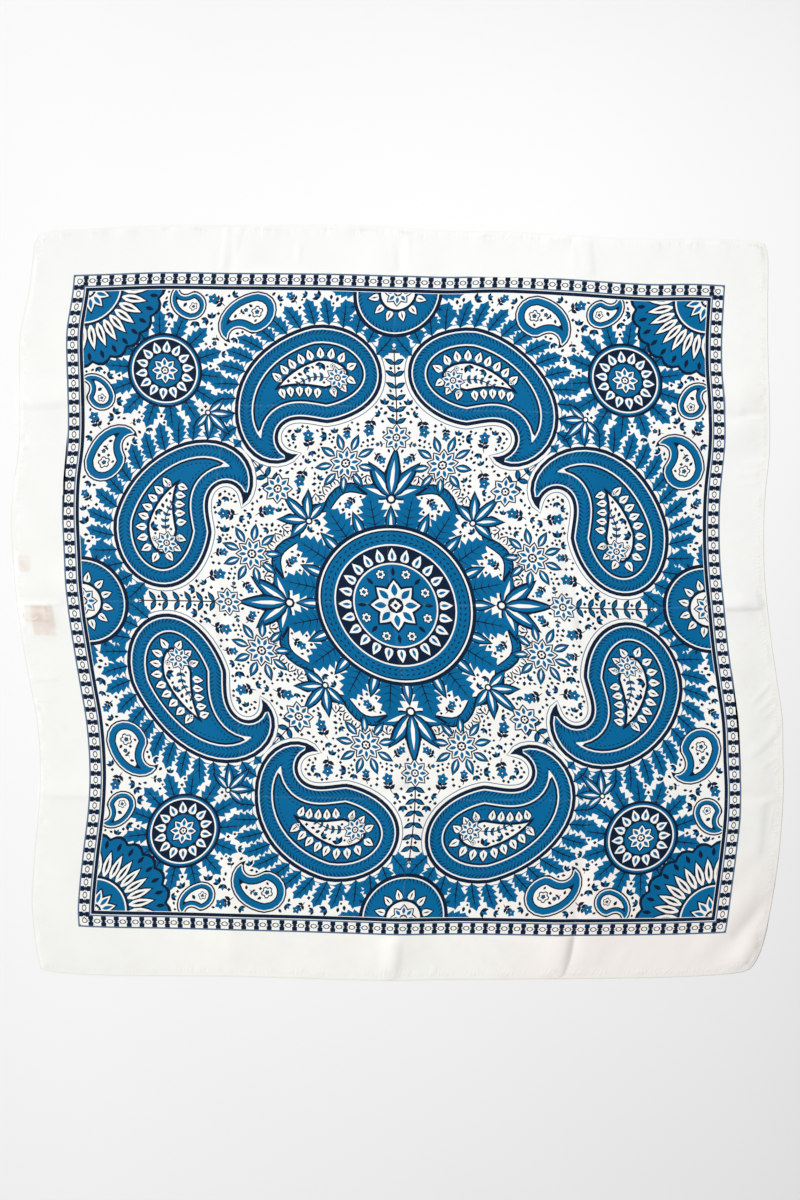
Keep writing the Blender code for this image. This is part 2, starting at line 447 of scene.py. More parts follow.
def laid(x, y):
    """Where points of the cut lie in the plane, still in millimetres."""
    sway, drift = between_edges(SIDES, ENDS, HALF, x, y)
    for corner in CORNERS:
        far = np.hypot(x - corner.across * HALF, y - corner.up * HALF)
        pull = corner.drawn_in * np.maximum(0.0, 1 - far / CORNER_DRAW_REACH)
        sway = sway - corner.across * pull
        drift = drift - corner.up * pull
    return x + sway, y + drift


def printed_place(x, y):
    """Where points of the drawing fell on the cut; the edges of the cut stay where they are."""
    moved = np.minimum(inside_edge(x, y) / (HALF - PRINT_EDGE), 1.0)
    moves_x, moves_y = between_edges(PRINT_SIDES, PRINT_ENDS, PRINT_EDGE, x, y)
    return x + moves_x * moved, y + moves_y * moved


def crease_height(crease, x, y):
    """Height of the cloth at one packing crease, from its signed height in each quarter."""
    across, place = (x, y) if crease.runs == "up" else (y, x)
    away = np.abs(across - crease.place) / CREASE_REACH
    away = np.sqrt(away**2 + CREASE_ROUND**2) - CREASE_ROUND
    signed, *later = crease.first, crease.second, crease.third, crease.fourth
    for quarter, height in enumerate(later, start=1):
        edge = -HALF + quarter * HALF / 2
        signed = signed + (height - signed) * ease((place - edge) / TURN_REACH + 0.5)
    falling = np.maximum(0.0, 1 - away) ** 2
    ridge, valley = np.maximum(signed, 0.0), np.maximum(-signed, 0.0)
    return ridge * falling + valley * BANK * away * falling


def fold_height(fold, x, y):
    """Height of one soft fold, round across its line and fading out at both ends."""
    dx, dy = fold.to_x - fold.from_x, fold.to_y - fold.from_y
    share = np.clip(((x - fold.from_x) * dx + (y - fold.from_y) * dy) / (dx * dx + dy * dy), 0, 1)
    away = np.hypot(x - fold.from_x - share * dx, y - fold.from_y - share * dy) / fold.reach
    return fold.rise * np.maximum(0.0, 1 - away * away) ** 2


def corner_height(corner, x, y):
    """Height of one lifted corner."""
    far = np.hypot(x - corner.across * HALF, y - corner.up * HALF) / corner.reach
    return corner.lift * np.maximum(0.0, 1 - far) ** 2


def nip_place(nip, x, y):
    """How far along a nip's line points lie, how far to its right, and how long the line is."""
    dx, dy = nip.to_x - nip.from_x, nip.to_y - nip.from_y
    length = math.hypot(dx, dy)
    run = ((x - nip.from_x) * dx + (y - nip.from_y) * dy) / length
    share = np.clip(run / length, 0, 1)
    away = ((x - nip.from_x) * dy - (y - nip.from_y) * dx) / length - 4 * nip.sag * share * (1 - share)
    return run, away, length


def nip_height(nip, x, y):
    """Height of one sharp crease, steeper to one side and fading out at both ends."""
    run, away, length = nip_place(nip, x, y)
    flank = 1 - ease(np.abs(away) / np.where(away > 0, nip.right, nip.left))
    return nip.rise * flank * ease(run / NIP_FADE) * ease((length - run) / NIP_FADE)


def relief(x, y):
    """Height of the laid cloth above the floor, before what lies under it is counted."""
    inside = inside_edge(x, y)
    creases = sum(crease_height(crease, x, y) for crease in CREASES)
    folds = sum(fold_height(fold, x, y) for fold in FOLDS)
    corners = sum(corner_height(corner, x, y) for corner in CORNERS)
    nips = sum(nip_height(nip, x, y) for nip in NIPS)
    at_left, at_top = towards(-x, y), towards(y, x)
    height = creases * growing(0.2 + 0.25 * at_left, inside, 30, full=0.5)
    height = height + FOLDS_KEPT * folds + CORNERS_KEPT * corners
    height = height * growing(0.15 + 0.7 * at_left + 0.4 * at_top, inside, 22)
    return height + nips * growing(0.6 + 0.4 * at_left, inside, 12)


def fullness(x, y):
    """How full the turned hem is along each side, as a share of its usual height."""
    run = np.where(np.abs(x) > np.abs(y), y + 900, x + 500 * np.sign(y))
    swell = np.sin(run / 6.4 + 1.5 * np.sin(run / 31)) + np.sin(run / 11.3 + 0.4)
    most = np.where(y > np.abs(x), 1.5, 0.6) * (1 - ease((np.minimum(np.abs(x), np.abs(y)) - 315) / 20))
    pressed = 0.5 * towards(x, y) + 0.4 * towards(-y, x)
    return (0.75 + most * np.clip(swell, 0.0, 1.3)) * (1 - pressed)


def picked_down(x, y, inside):
    """How far the hem's hidden stitches draw the cloth down, in uneven dimples along each side."""
    on_side = np.abs(x) > np.abs(y)
    place = np.where(on_side, y, x)
    side = np.where(on_side, np.where(x > 0, 0.0, 1.9), np.where(y > 0, 4.1, 5.3))
    drawn = np.zeros_like(inside)
    for pitch, shift, deepest, spread in PICKS:
        number = np.floor(place / pitch)
        middle = (number + 0.5) * pitch + pitch * 0.3 * np.sin(2.1 * number + 3 * side + shift)
        depth = deepest * np.clip(0.45 + 0.75 * np.sin(1.7 * number + side * 2 + shift), 0.0, 1.0)
        far = ((place - middle) / spread) ** 2 + ((inside - PICKS_INSIDE) / PICKS_ACROSS) ** 2
        drawn = drawn + depth * np.exp(-far)
    return drawn


def silk_top(x, y, silk):
    """Height of the upper face of the silk, in millimetres."""
    inside = inside_edge(x, y)
    roll = np.interp(inside, [row.inside for row in ROLL], [row.rise for row in ROLL])
    height = relief(x, y) + roll * fullness(x, y) + silk * growing(0.12, inside, 6)
    under = np.zeros_like(inside)
    for label in LABELS:
        past_x = np.maximum(np.maximum(label.left - x, x - label.right), 0.0)
        past_y = np.maximum(np.maximum(label.bottom - y, y - label.top), 0.0)
        cover = 1 - ease(np.hypot(past_x, past_y) / LABEL_SLOPE)
        under = np.maximum(under, LABEL_RISE * (label.layers_under + 1) * cover)
    height = height + under * (1 - ease((6 - inside) / 3))
    waves = 0.05 * (2 + np.sin(x / 9.1 + y / 31 + 1.3) + np.sin(y / 11.7 - x / 43))
    height = height + waves * ease(inside / 20)
    return height - np.minimum(picked_down(x, y, inside), 0.8 * (height - silk))


def silk_slopes(x, y, silk):
    """How steeply the upper face rises towards +X and towards +Y."""
    step = 0.35
    rise_x = silk_top(x + step, y, silk) - silk_top(x - step, y, silk)
    rise_y = silk_top(x, y + step, silk) - silk_top(x, y - step, silk)
    return rise_x / (2 * step), rise_y / (2 * step)


def outline_middle():
    """The middle of the laid outline, which stands at the middle of the solids' box."""
    run = np.linspace(-HALF, HALF, 401)
    edge = np.full_like(run, HALF)
    x, y = laid(np.concatenate((run, run, edge, -edge)), np.concatenate((edge, -edge, run, run)))
    solids = (SOLIDS_BOX[0] + SOLIDS_BOX[1]) / 2
    return (
        (x.min() + x.max()) / 2 - solids.x / MM,
        (y.min() + y.max()) / 2 - solids.y / MM,
    )


MIDDLE = outline_middle()


def in_place(x, y, height):
    """Points in metres, from places on the cut and heights, both in millimetres."""
    plane_x, plane_y = laid(x, y)
    return np.stack((plane_x - MIDDLE[0], plane_y - MIDDLE[1], height), axis=1) * MM


# Outlines of the print, as lists of complex numbers: the real part runs across, the other up

IVORY, BLUE, NAVY, GREY = range(4)
MIDDLE_OF_SIDE = complex(FIELD_EDGE, 0)
CORNER_OF_FIELD = complex(FIELD_EDGE, FIELD_EDGE)


def turned(degrees):
    return cmath.rect(1.0, math.radians(degrees))


def out_from(at, distance, degrees):
    return at + distance * turned(degrees)


def placed(outline, at=0j, turn=0.0):
    return [at + point * turned(turn) for point in outline]


def disc(radius, sides):
    return [radius * turned(360 * k / sides) for k in range(sides)]


def lobed(radius, lobes, depth, steps=3):
    """A round outline with even lobes."""
    outline = []
    for k in range(lobes * steps):
        bulge = abs(math.sin(math.pi * k / steps))
        reach = radius * (1 - depth + depth * bulge)
        outline.append(reach * turned(360 * (k / steps + 0.5) / lobes))
    return outline


def leaf(length, width, bend=0.0, steps=5, blunt=0.85):
    """A pointed leaf along +x from 0, with its tip carried sideways by the bend."""
    lower, upper = [], []
    for k in range(1, steps):
        share = k / steps
        rib = complex(length * share, bend * share * share)
        half = width / 2 * math.sin(math.pi * share**blunt)
        lower.append(rib - 1j * half)
        upper.append(rib + 1j * half)
    return [0j, *lower, complex(length, bend), *reversed(upper)]


def petal(length, width):
    """A short leaf that is widest near its foot."""
    return leaf(length, width, steps=4, blunt=0.66)


def toothed_leaf(length, width, teeth, bend=0.0):
    """A leaf whose two sides step out in teeth that point forwards."""
    lower, upper = [], []
    for k in range(teeth):
        for share, reach in (((k + 0.9) / (teeth + 0.7), 1.0), ((k + 1.02) / (teeth + 0.7), 0.6)):
            half = width / 2 * reach * math.sin(math.pi * (0.16 + 0.78 * share)) ** 0.75
            rib = complex(length * share, bend * share * share)
            lower.append(rib - 1j * half)
            upper.append(rib + 1j * half)
    return [0j, *lower, complex(length, bend), *reversed(upper)]


def headings(line, closed=False):
    """The direction of a line at each of its points, as numbers of length 1."""
    last = len(line) - 1
    found = []
    for i in range(len(line)):
        before = line[i - 1] if closed or i else line[0]
        after = line[(i + 1) % len(line)] if closed else line[min(i + 1, last)]
        found.append((after - before) / (abs(after - before) or 1.0))
    return found


def bent(points, steps=4):
    """A smooth line through a few points."""
    line = []
    last = len(points) - 1
    for i in range(last):
        a, b, c, d = (points[min(max(i + k, 0), last)] for k in (-1, 0, 1, 2))
        for k in range(steps):
            t = k / steps
            curve = (c - a) + t * ((2 * a - 5 * b + 4 * c - d) + t * (3 * (b - c) + d - a))
            line.append(b + 0.5 * t * curve)
    return [*line, points[-1]]


def stroke(line, first, middle, last):
    """A line drawn with a pen whose width swells from first through middle to last."""
    right, left = [], []
    for i, (point, way) in enumerate(zip(line, headings(line))):
        share = i / (len(line) - 1)
        end = first if share < 0.5 else last
        half = (end + (middle - end) * math.sin(math.pi * share)) / 2
        right.append(point - 1j * way * half)
        left.append(point + 1j * way * half)
    return [*right, *reversed(left)]


def boteh(length, width, curl, steps, late):
    """The paisley comma: a round foot at 0, a body that bends more and more, and a point."""
    fat = 0.3  # share of the length where it is widest
    foot = max(steps // 3, 4)
    shares = [fat * (1 - math.cos(math.pi / 2 * k / foot)) for k in range(foot)]
    shares += [fat + (1 - fat) * k / (steps - foot) for k in range(steps - foot + 1)]
    body, before = 0j, 0.0
    left, right = [], []
    for share in shares:
        body += length * (share - before) * turned(curl * ((share + before) / 2) ** late)
        before = share
        if share < fat:
            half = width / 2 * math.sqrt(1 - (1 - share / fat) ** 2)
        else:
            half = width / 2 * (1 - ((share - fat) / (1 - fat)) ** 1.25)
        sideways = 1j * half * turned(curl * share**late)
        left.append(body + sideways)
        right.append(body - sideways)
    return [*right[:-1], body, *reversed(left[1:-1])]


def signed_area(outline):
    """Area inside an outline in square millimetres, + where it turns left."""
    return sum((outline[i - 1].conjugate() * outline[i]).imag for i in range(len(outline))) / 2


def distance_to(outline, point):
    nearest = math.inf
    for i, end in enumerate(outline):
        step = end - outline[i - 1]
        share = ((point - outline[i - 1]) * step.conjugate()).real / (abs(step) ** 2 or 1.0)
        nearest = min(nearest, abs(point - outline[i - 1] - step * min(max(share, 0.0), 1.0)))
    return nearest


def inset(outline, by):
    """The outline moved in by a distance, without the loops that sharp places would leave."""
    side = 1j if signed_area(outline) > 0 else -1j
    moved = [p + side * way * by for p, way in zip(outline, headings(outline, closed=True))]
    return [point for point in moved if distance_to(outline, point) > abs(by) * 0.97]


def walk(line, spacing, closed=False):
    """(point, direction in degrees, share of the way) at even steps along a line."""
    points = [*line, line[0]] if closed else line
    lengths = [abs(b - a) for a, b in zip(points, points[1:])]
    count = max(round(sum(lengths) / spacing), 1)
    found, index, passed = [], 0, 0.0
    for k in range(count):
        share = (k + 0.5) / count
        place = share * sum(lengths)
        while index < len(lengths) - 1 and passed + lengths[index] < place:
            passed += lengths[index]
            index += 1
        step = points[index + 1] - points[index]
        at = points[index] + step * (place - passed) / (lengths[index] or 1.0)
        found.append((at, math.degrees(cmath.phase(step)), share))
    return found


class Print:
    """The inked shapes of one eighth of the print, from the middle to one side and one corner.

    The eighth lies between the line that runs across and the one that runs up to the corner at
    45 degrees. A later shape covers the ones before it.
    """

    def __init__(self):
        self.shapes = []

    def ink(self, colour, outline, at=0j, turn=0.0):
        outline = placed(outline, at, turn)
        in_eighth = any(p.imag < p.real for p in outline) and any(p.imag > 0 for p in outline)
        if len(outline) > 2 and in_eighth:
            self.shapes.append((colour, outline if signed_area(outline) > 0 else outline[::-1]))

    def rings(self, at, sides, *rings):
        """Discs over each other, given as (radius, colour) from the largest in."""
        for radius, colour in rings:
            self.ink(colour, disc(radius, sides), at)

    def insets(self, outline, *steps):
        """The outline moved in by each distance, given as (distance, colour)."""
        for by, colour in steps:
            self.ink(colour, inset(outline, by))

    def round_of(self, count, at, distance, first, place):
        """Calls place(point, direction) for so many places round a middle."""
        for k in range(count):
            way = first + 360 / count * k
            place(out_from(at, distance, way), way)

    def spread(self, count, at, distance, first, colour, outline):
        """The same outline so many times round a middle, pointing outwards."""
        self.round_of(count, at, distance, first, lambda place, way: self.ink(colour, outline, place, way))

    # Single flowers and leaves

    def floret(self, at, radius, petals=6, turn=0.0):
        self.ink(NAVY, lobed(radius, petals, 0.28), at, turn)
        self.ink(IVORY, lobed(radius * 0.8, petals, 0.36), at, turn)
        self.ink(NAVY, lobed(radius * 0.42, petals, 0.3, 2), at, turn)
        self.ink(BLUE, disc(radius * 0.2, 6), at)

    def flower(self, at, radius, petals=8, turn=0.0):
        width = radius * math.sin(math.pi / petals) * 2.1
        for share, full, colour in ((1.04, 0.92, NAVY), (0.93, 0.72, IVORY)):
            self.spread(petals, at, 0, turn, colour, leaf(radius * share, width * full))
        self.spread(petals, at, radius * 0.34, turn, BLUE, leaf(radius * 0.48, width * 0.3))
        self.ink(NAVY, disc(radius * 0.3, 10), at)
        self.ink(IVORY, lobed(radius * 0.22, 6, 0.35, 2), at)
        self.ink(NAVY, disc(radius * 0.08, 5), at)

    def blue_leaf(self, at, turn, length, width, teeth=4, bend=0.0):
        self.ink(BLUE, toothed_leaf(length, width, teeth, bend), at, turn)
        for k in range(1, teeth):
            share = (k + 0.1) / (teeth + 0.7)
            vein = complex(length * share, bend * share * share)
            for side in (-1, 1):
                half = width * 0.34 * math.sin(math.pi * min(share + 0.15, 1.0))
                tip = vein + complex(length * 0.62 / teeth, side * half)
                self.ink(NAVY, [vein - 0.5, tip, vein + 0.5], at, turn)
        rib = [0j, complex(length * 0.5, bend * 0.25), complex(length * 0.92, bend * 0.85)]
        self.ink(NAVY, stroke(rib, 1.2, 1.2, 0.3), at, turn)

    def lined_leaf(self, at, turn, length, width, bend=0.0):
        """A leaf in navy, blue and ivory, each inside the one before."""
        self.ink(NAVY, leaf(length, width, bend), at, turn)
        inner = out_from(at, length * 0.05, turn)
        self.ink(BLUE, leaf(length * 0.86, width * 0.72, bend * 0.74), inner, turn)
        inner = out_from(at, length * 0.12, turn)
        self.ink(IVORY, leaf(length * 0.6, width * 0.26, bend * 0.45, 3), inner, turn)

    def palmette(self, at, turn, size, spread=150):
        """Five lined leaves fanned out from a bead, the middle one last and longest."""
        for away in (-1.0, 1.0, -0.5, 0.5, 0.0):
            length = size * (1 - 0.3 * abs(away))
            self.lined_leaf(at, turn + away * spread / 2, length, size * 0.3, away * size * 0.16)
        self.rings(at, 8, (size * 0.1, NAVY), (size * 0.055, IVORY))

    # Rows along a line

    def petal_row(self, outline, length, width, first=0.0, last=1.0):
        for at, way, share in walk(outline, 8.8, closed=True):
            if first <= share <= last:
                self.ink(NAVY, petal(length * 1.1, width * 1.16), at, way - 90)
                self.ink(IVORY, petal(length * 0.95, width * 0.84), at, way - 90)
                rib = [length * 0.2 + 0j, length * 0.5 + 0j, length * 0.72 + 0j]
                self.ink(NAVY, stroke(rib, 0.4, 1.5, 0.3), at, way - 90)

    def dashes(self, outline, spacing, length, width, lean):
        lozenge = [-length / 2 + 0j, -0.5j * width, length / 2 + 0j, 0.5j * width]
        for at, way, _ in walk(outline, spacing, closed=True):
            self.ink(NAVY, lozenge, at, way + lean)

    def barbs(self, outline, spacing, length, width, lean):
        """Thin wedges that lean in from an outline, as on a feather."""
        tip = length * turned(lean)
        for at, way, _ in walk(outline, spacing, closed=True):
            self.ink(NAVY, [-width / 2 + 0j, width / 2 + 0j, tip], at, way)

    def stem(self, line, spacing, length, width, lean, pen, taper=0.35):
        """A thin stem with pairs of leaves that grow shorter towards its end."""
        self.ink(NAVY, stroke(line, pen * 0.7, pen, pen * 0.6))
        for at, way, share in walk(line, spacing):
            size = 1 - taper * share
            for side in (-1, 1):
                turn = way + side * lean
                self.ink(NAVY, leaf(length * size, width * size, side * length * 0.14, 4), at, turn)
                inner = leaf(length * size * 0.72, width * size * 0.5, side * length * 0.08, 3)
                self.ink(BLUE, inner, out_from(at, length * 0.1, turn), turn)

    # The large pieces of the design

    def medallion(self):
        self.round_of(16, 0j, 62, 11.25, lambda at, way: self.blue_leaf(at, way, 45, 31, 6))
        self.round_of(16, 0j, 66, 0, lambda at, way: self.lined_leaf(at, way, 28, 11))
        self.rings(0j, 72, (75, NAVY), (71.6, IVORY), (70, NAVY), (68.6, BLUE))
        self.dashes(disc(65, 72), 5.6, 4.0, 1.5, 25)
        self.dashes(disc(60.6, 72), 5.2, 4.0, 1.5, -25)
        self.rings(0j, 64, (57, IVORY), (55.6, NAVY))
        self.spread(24, 0j, 39.5, 0, IVORY, petal(14, 8.2))
        self.spread(24, 0j, 42, 0, BLUE, leaf(8, 3, 0, 3))
        self.rings(0j, 56, (41.5, NAVY), (39.6, IVORY), (38.2, BLUE))
        self.round_of(8, 0j, 31, 22.5, lambda at, way: self.floret(at, 5.4, 6, way))
        self.spread(8, 0j, 27, 0, NAVY, leaf(9, 3.6, 0, 4))
        self.flower(0j, 25)

    def scalloped_ring(self):
        line = lobed(121, 16, 0.07, 6)
        self.petal_row(line, 9.0, 8.0)
        self.ink(NAVY, line)
        self.insets(line, (1.9, BLUE), (8.2, NAVY), (9.6, IVORY))
        self.barbs(inset(line, 2.2), 5.0, 5.2, 1.6, 55)

    def great_boteh(self):
        outer = placed(boteh(196, 92, 214, 36, 2.5), 213 + 12j, 87)
        self.insets(outer, (-3.4, GREY), (-2.6, IVORY))
        for at, way, share in walk(outer, 13.4, closed=True):
            if 0.02 < share < 0.52:
                self.blue_leaf(at, way - 76, 27, 16, 4, 3)
        self.ink(NAVY, outer)
        self.insets(outer, (3.4, IVORY), (4.6, BLUE))
        self.barbs(inset(outer, 5.4), 3.7, 6.4, 1.7, 52)
        self.barbs(inset(outer, 14.8)[::-1], 3.9, 5.0, 1.5, 126)
        self.insets(outer, (15.8, IVORY), (17.1, NAVY), (19.0, BLUE))
        self.dashes(inset(outer, 22.0), 4.2, 2.6, 1.1, 0)
        heart = inset(outer, 31.5)
        self.petal_row(heart, 11.2, 8.6, 0.0, 0.47)
        self.petal_row(heart, 10.4, 8.2, 0.53, 1.0)
        self.ink(NAVY, heart)
        self.ink(IVORY, inset(outer, 34.0))
        self.stem(bent([210 + 64j, 210 + 78j, 203 + 93j]), 6.5, 6, 3.4, 40, 1.1)
        self.flower(210 + 54j, 11, 8, 10)
        for at, radius in ((221 + 58j, 2.6), (199 + 58j, 2.4), (207 + 108j, 2.6)):
            self.floret(at, radius, 5)

    def small_boteh(self, at, turn, length, width, flip):
        outline = boteh(length, width, 160, 16, 2.2)
        if flip:
            outline = [point.conjugate() for point in outline]
        outer = placed(outline, at, turn)
        self.ink(NAVY, outer)
        self.insets(outer, (1.4, IVORY), (2.5, BLUE), (width * 0.2, NAVY), (width * 0.2 + 1.2, IVORY))
        self.floret(out_from(at, length * 0.27, turn), width * 0.15, 5, turn)

    def diagonal(self):
        self.stem([150 * turned(45), 190 * turned(45)], 9, 13, 6.5, 44, 1.6, 0.3)
        self.palmette(108 * turned(45), 45, 36)
        self.flower(150 * turned(45), 14, 8, 45)

    def cross_stem(self):
        self.stem([163 + 0j, 240 + 0j], 10.5, 11, 5.2, 50, 1.8, 0.0)
        self.palmette(99 + 0j, 0, 50, 120)
        self.flower(156 + 0j, 13)

    def ring_flower(self):
        at = 131 + 45j
        self.round_of(9, at, 12, 20, lambda place, way: self.lined_leaf(place, way, 17, 8))
        self.flower(at, 15, 9)

    def side_leaves(self):
        self.round_of(18, MIDDLE_OF_SIDE, 36, 90, lambda at, way: self.blue_leaf(at, way, 27, 15))

    def side_rosette(self):
        at = MIDDLE_OF_SIDE
        self.rings(at, 48, (42, NAVY), (38.6, IVORY), (37.4, BLUE))
        self.barbs(placed(disc(37.2, 48), at), 3.9, 5.4, 1.7, 120)
        self.petal_row(placed(disc(17, 30), at), 11.5, 7.8)
        self.rings(at, 32, (18.4, NAVY), (15.8, IVORY))
        self.flower(at, 13)

    def corner_fan(self):
        at = CORNER_OF_FIELD
        self.ink(NAVY, lobed(73, 24, 0.06, 4), at)
        self.ink(BLUE, lobed(70, 24, 0.06, 4), at)
        self.spread(32, at, 58, 45 / 8, NAVY, leaf(9, 4, 0, 3))
        self.spread(32, at, 30, 0, NAVY, leaf(29, 10.5, 0, 4))
        self.spread(32, at, 31, 0, IVORY, leaf(25.5, 7.4, 0, 4))
        self.spread(32, at, 36, 0, NAVY, leaf(15, 2.4, 0, 3))
        self.rings(at, 44, (33, NAVY), (30.4, IVORY), (29, BLUE))
        self.flower(at, 22, 12, 45)

    def corner_rosette(self):
        at = 304 * turned(45)
        first = 45 + 180 / 14
        self.round_of(14, at, 28, first, lambda place, way: self.blue_leaf(place, way, 29, 17))
        self.rings(at, 48, (35, NAVY), (32.6, BLUE), (30.8, IVORY), (29.4, NAVY))
        self.spread(14, at, 15.6, 45, IVORY, petal(12, 7.6))
        self.spread(14, at, 18, 45, BLUE, leaf(7, 2.8, 0, 3))
        self.rings(at, 32, (17, NAVY), (15.4, BLUE))
        self.flower(at, 13, 8, 45)
        self.palmette(249 * turned(45), 225, 30)

    def guard_band(self):
        """Straight bands, beads and reels between the field and the plain margin."""
        past_cut = HALF + 9
        run = range(-9, int(past_cut), 9)
        for low, high, colour in (
            (290.4, past_cut, IVORY),
            (290.9, 294.1, NAVY),
            (294.8, 296.1, GREY),
            (305.2, 306.7, GREY),
        ):
            self.ink(colour, [complex(high, up) for up in run] + [complex(low, up) for up in run[::-1]])
        middle, beads = 300.65, 25
        pitch = middle / beads
        reel = [-4.55 - 2.3j, -1.5 - 2.5j, -0.6 - 1.1j, -2.8j, 0.6 - 1.1j, 1.5 - 2.5j, 4.55 - 2.3j]
        reel += [-point for point in reel]
        for k in range(beads + 1):
            at = complex(middle, pitch * k)
            for radius, colour in ((2.9, NAVY), (1.95, IVORY)):
                bead = [complex(point.real * 0.78, point.imag * 1.12) for point in disc(radius, 8)]
                self.ink(colour, bead, at)
            self.ink(NAVY, reel, at + complex(0, pitch / 2))

    def draw(self):
        self.scalloped_ring()
        self.side_leaves()
        self.cross_stem()
        self.diagonal()
        self.great_boteh()
        self.side_rosette()
        self.corner_rosette()
        self.corner_fan()
        self.medallion()
        self.ring_flower()
        self.small_boteh(266 + 112j, 76, 68, 40, flip=False)
        self.small_boteh(277 + 178j, 100, 46, 28, flip=True)
        self.guard_band()

    # The small flowers strewn over what is left

    def strewn(self, at, room, turn):
        """The largest small thing that fits a round clearing."""
        if room > 6.6:
            self.strewn_sprig(at, room, turn)
        elif room > 4.2:
            self.strewn_bud(at, room, turn)
        elif room > 2.8:
            foot = out_from(at, -room * 0.9, turn)
            for side, colour in ((-42, NAVY), (0, BLUE), (42, NAVY)):
                self.ink(colour, leaf(room * 1.8, room * 0.95, 0, 3), foot, turn + side)
        elif room > 1.9:
            self.ink(NAVY, leaf(room * 1.9, room * 1.2, 0, 3), out_from(at, -room * 0.95, turn), turn)
        else:
            self.ink(NAVY, disc(room, 4), at)

    def strewn_sprig(self, at, room, turn):
        line = bent([-room + 0j, complex(-room * 0.3, -room * 0.12), complex(room * 0.5, room * 0.1)], 2)
        self.ink(NAVY, stroke(line, 0.5, 1.0, 0.7), at, turn)
        for share, side in ((-0.62, 1), (-0.5, -1), (-0.2, 1), (-0.08, -1)):
            size = room * (0.72 if share < -0.3 else 0.62)
            foot = at + complex(room * share, -room * 0.1) * turned(turn)
            self.ink(NAVY, leaf(size, size * 0.58, side * size * 0.1, 3), foot, turn + side * 50)
        head = out_from(at, room * 0.52, turn)
        self.spread(5, head, 0, turn, BLUE, leaf(room * 0.6, room * 0.48, 0, 3))
        self.rings(head, 6, (room * 0.17, NAVY), (room * 0.08, IVORY))

    def strewn_bud(self, at, room, turn):
        self.ink(NAVY, stroke([-room + 0j, room * 0.3 + 0j], 0.5, 0.9, 0.6), at, turn)
        for share, side in ((-0.55, 1), (-0.4, -1)):
            foot = out_from(at, room * share, turn)
            self.ink(NAVY, leaf(room * 0.8, room * 0.48, side * room * 0.1, 3), foot, turn + side * 50)
        head = out_from(at, room * 0.55, turn)
        self.ink(NAVY, lobed(room * 0.5, 5, 0.3, 2), head, turn)
        self.ink(BLUE, disc(room * 0.28, 4), head)

    def strew(self, distance_to_ink):
        """Fills the ivory that is left, the widest clearings first."""
        clear, smallest, largest, pitch, reach = 0.7, 1.3, 9.4, 2.6, 289.5
        clearings = []
        for row in range(1, int(reach / (pitch * 0.87))):
            for column in range(1, int(reach / pitch)):
                at = complex(pitch * (column + 0.5 * (row % 2)), pitch * 0.87 * row)
                at += cmath.rect(1.0, row * 2.4 + column * column)
                if at.real > reach or at.imag > at.real:
                    continue
                room = min(distance_to_ink(at), at.imag, (at.real - at.imag) / math.sqrt(2))
                if room > smallest + clear:
                    clearings.append((-room, row, column, at))
        taken = []
        for room, _, _, at in sorted(clearings, key=lambda clearing: clearing[:3]):
            room = min([-room] + [abs(at - other) - reach for other, reach in taken])
            if room < smallest + clear:
                continue
            room = min(room - clear, largest)
            taken.append((at, room + clear * 0.3))
            self.strewn(at, room, (math.degrees(cmath.phase(at)) * 3 + len(taken) * 137.5) % 360)


# From overlapping shapes to one mesh

NEAREST = 1e-4
SNAP = 2e-3
FIELD_CELL = 4.0
NIP_CELL = 2.4
NIP_SPACING = 1.5
# Lines of points a little to both sides of the creases, which round them off
BESIDE_MIDDLE = 2.2
BESIDE_CREASES = (158.8, 163.5, 168.2, 179.8, 184.2)
QUARTERS = (1, 1j, -1, -1j)
EIGHTH = (0j, complex(PRINT_EDGE, 0), complex(PRINT_EDGE, PRINT_EDGE))


def flat_vector(point):
    return Vector((point.real, point.imag))


def painted(shapes):
    """(points, triangles, their inks) over the eighth, where a later shape covers an earlier one."""
    points, faces = [], []
    for outline in [EIGHTH, *(outline for _, outline in shapes)]:
        faces.append(list(range(len(points), len(points) + len(outline))))
        points += [flat_vector(point) for point in outline]
    inks = [IVORY, *(ink for ink, _ in shapes)]
    points, _, triangles, _, _, covered_by = delaunay_2d_cdt(points, [], faces, 0, NEAREST)
    kept = [(t, inks[max(ids)]) for t, ids in zip(triangles, covered_by) if 0 in ids]
    return points, [t for t, _ in kept], [ink for _, ink in kept]


def settled(point):
    """The point, moved onto a side of the eighth if it nearly touches it."""
    across = PRINT_EDGE if abs(point.x - PRINT_EDGE) < SNAP else point.x
    up = across if abs(across - point.y) < SNAP else point.y
    return Vector((across, 0.0 if abs(up) < SNAP else up))


def tree_of(points, triangles):
    return BVHTree.FromPolygons([(p.x, p.y, 0) for p in points], triangles)


def borders(triangles, inks):
    """The edges between two inks, and those round the eighth."""
    beside = {}
    for triangle, ink in zip(triangles, inks):
        for a, b in zip(triangle, triangle[1:] + triangle[:1]):
            beside.setdefault((min(a, b), max(a, b)), []).append(ink)
    return [edge for edge, both in beside.items() if len(both) == 1 or both[0] != both[1]]


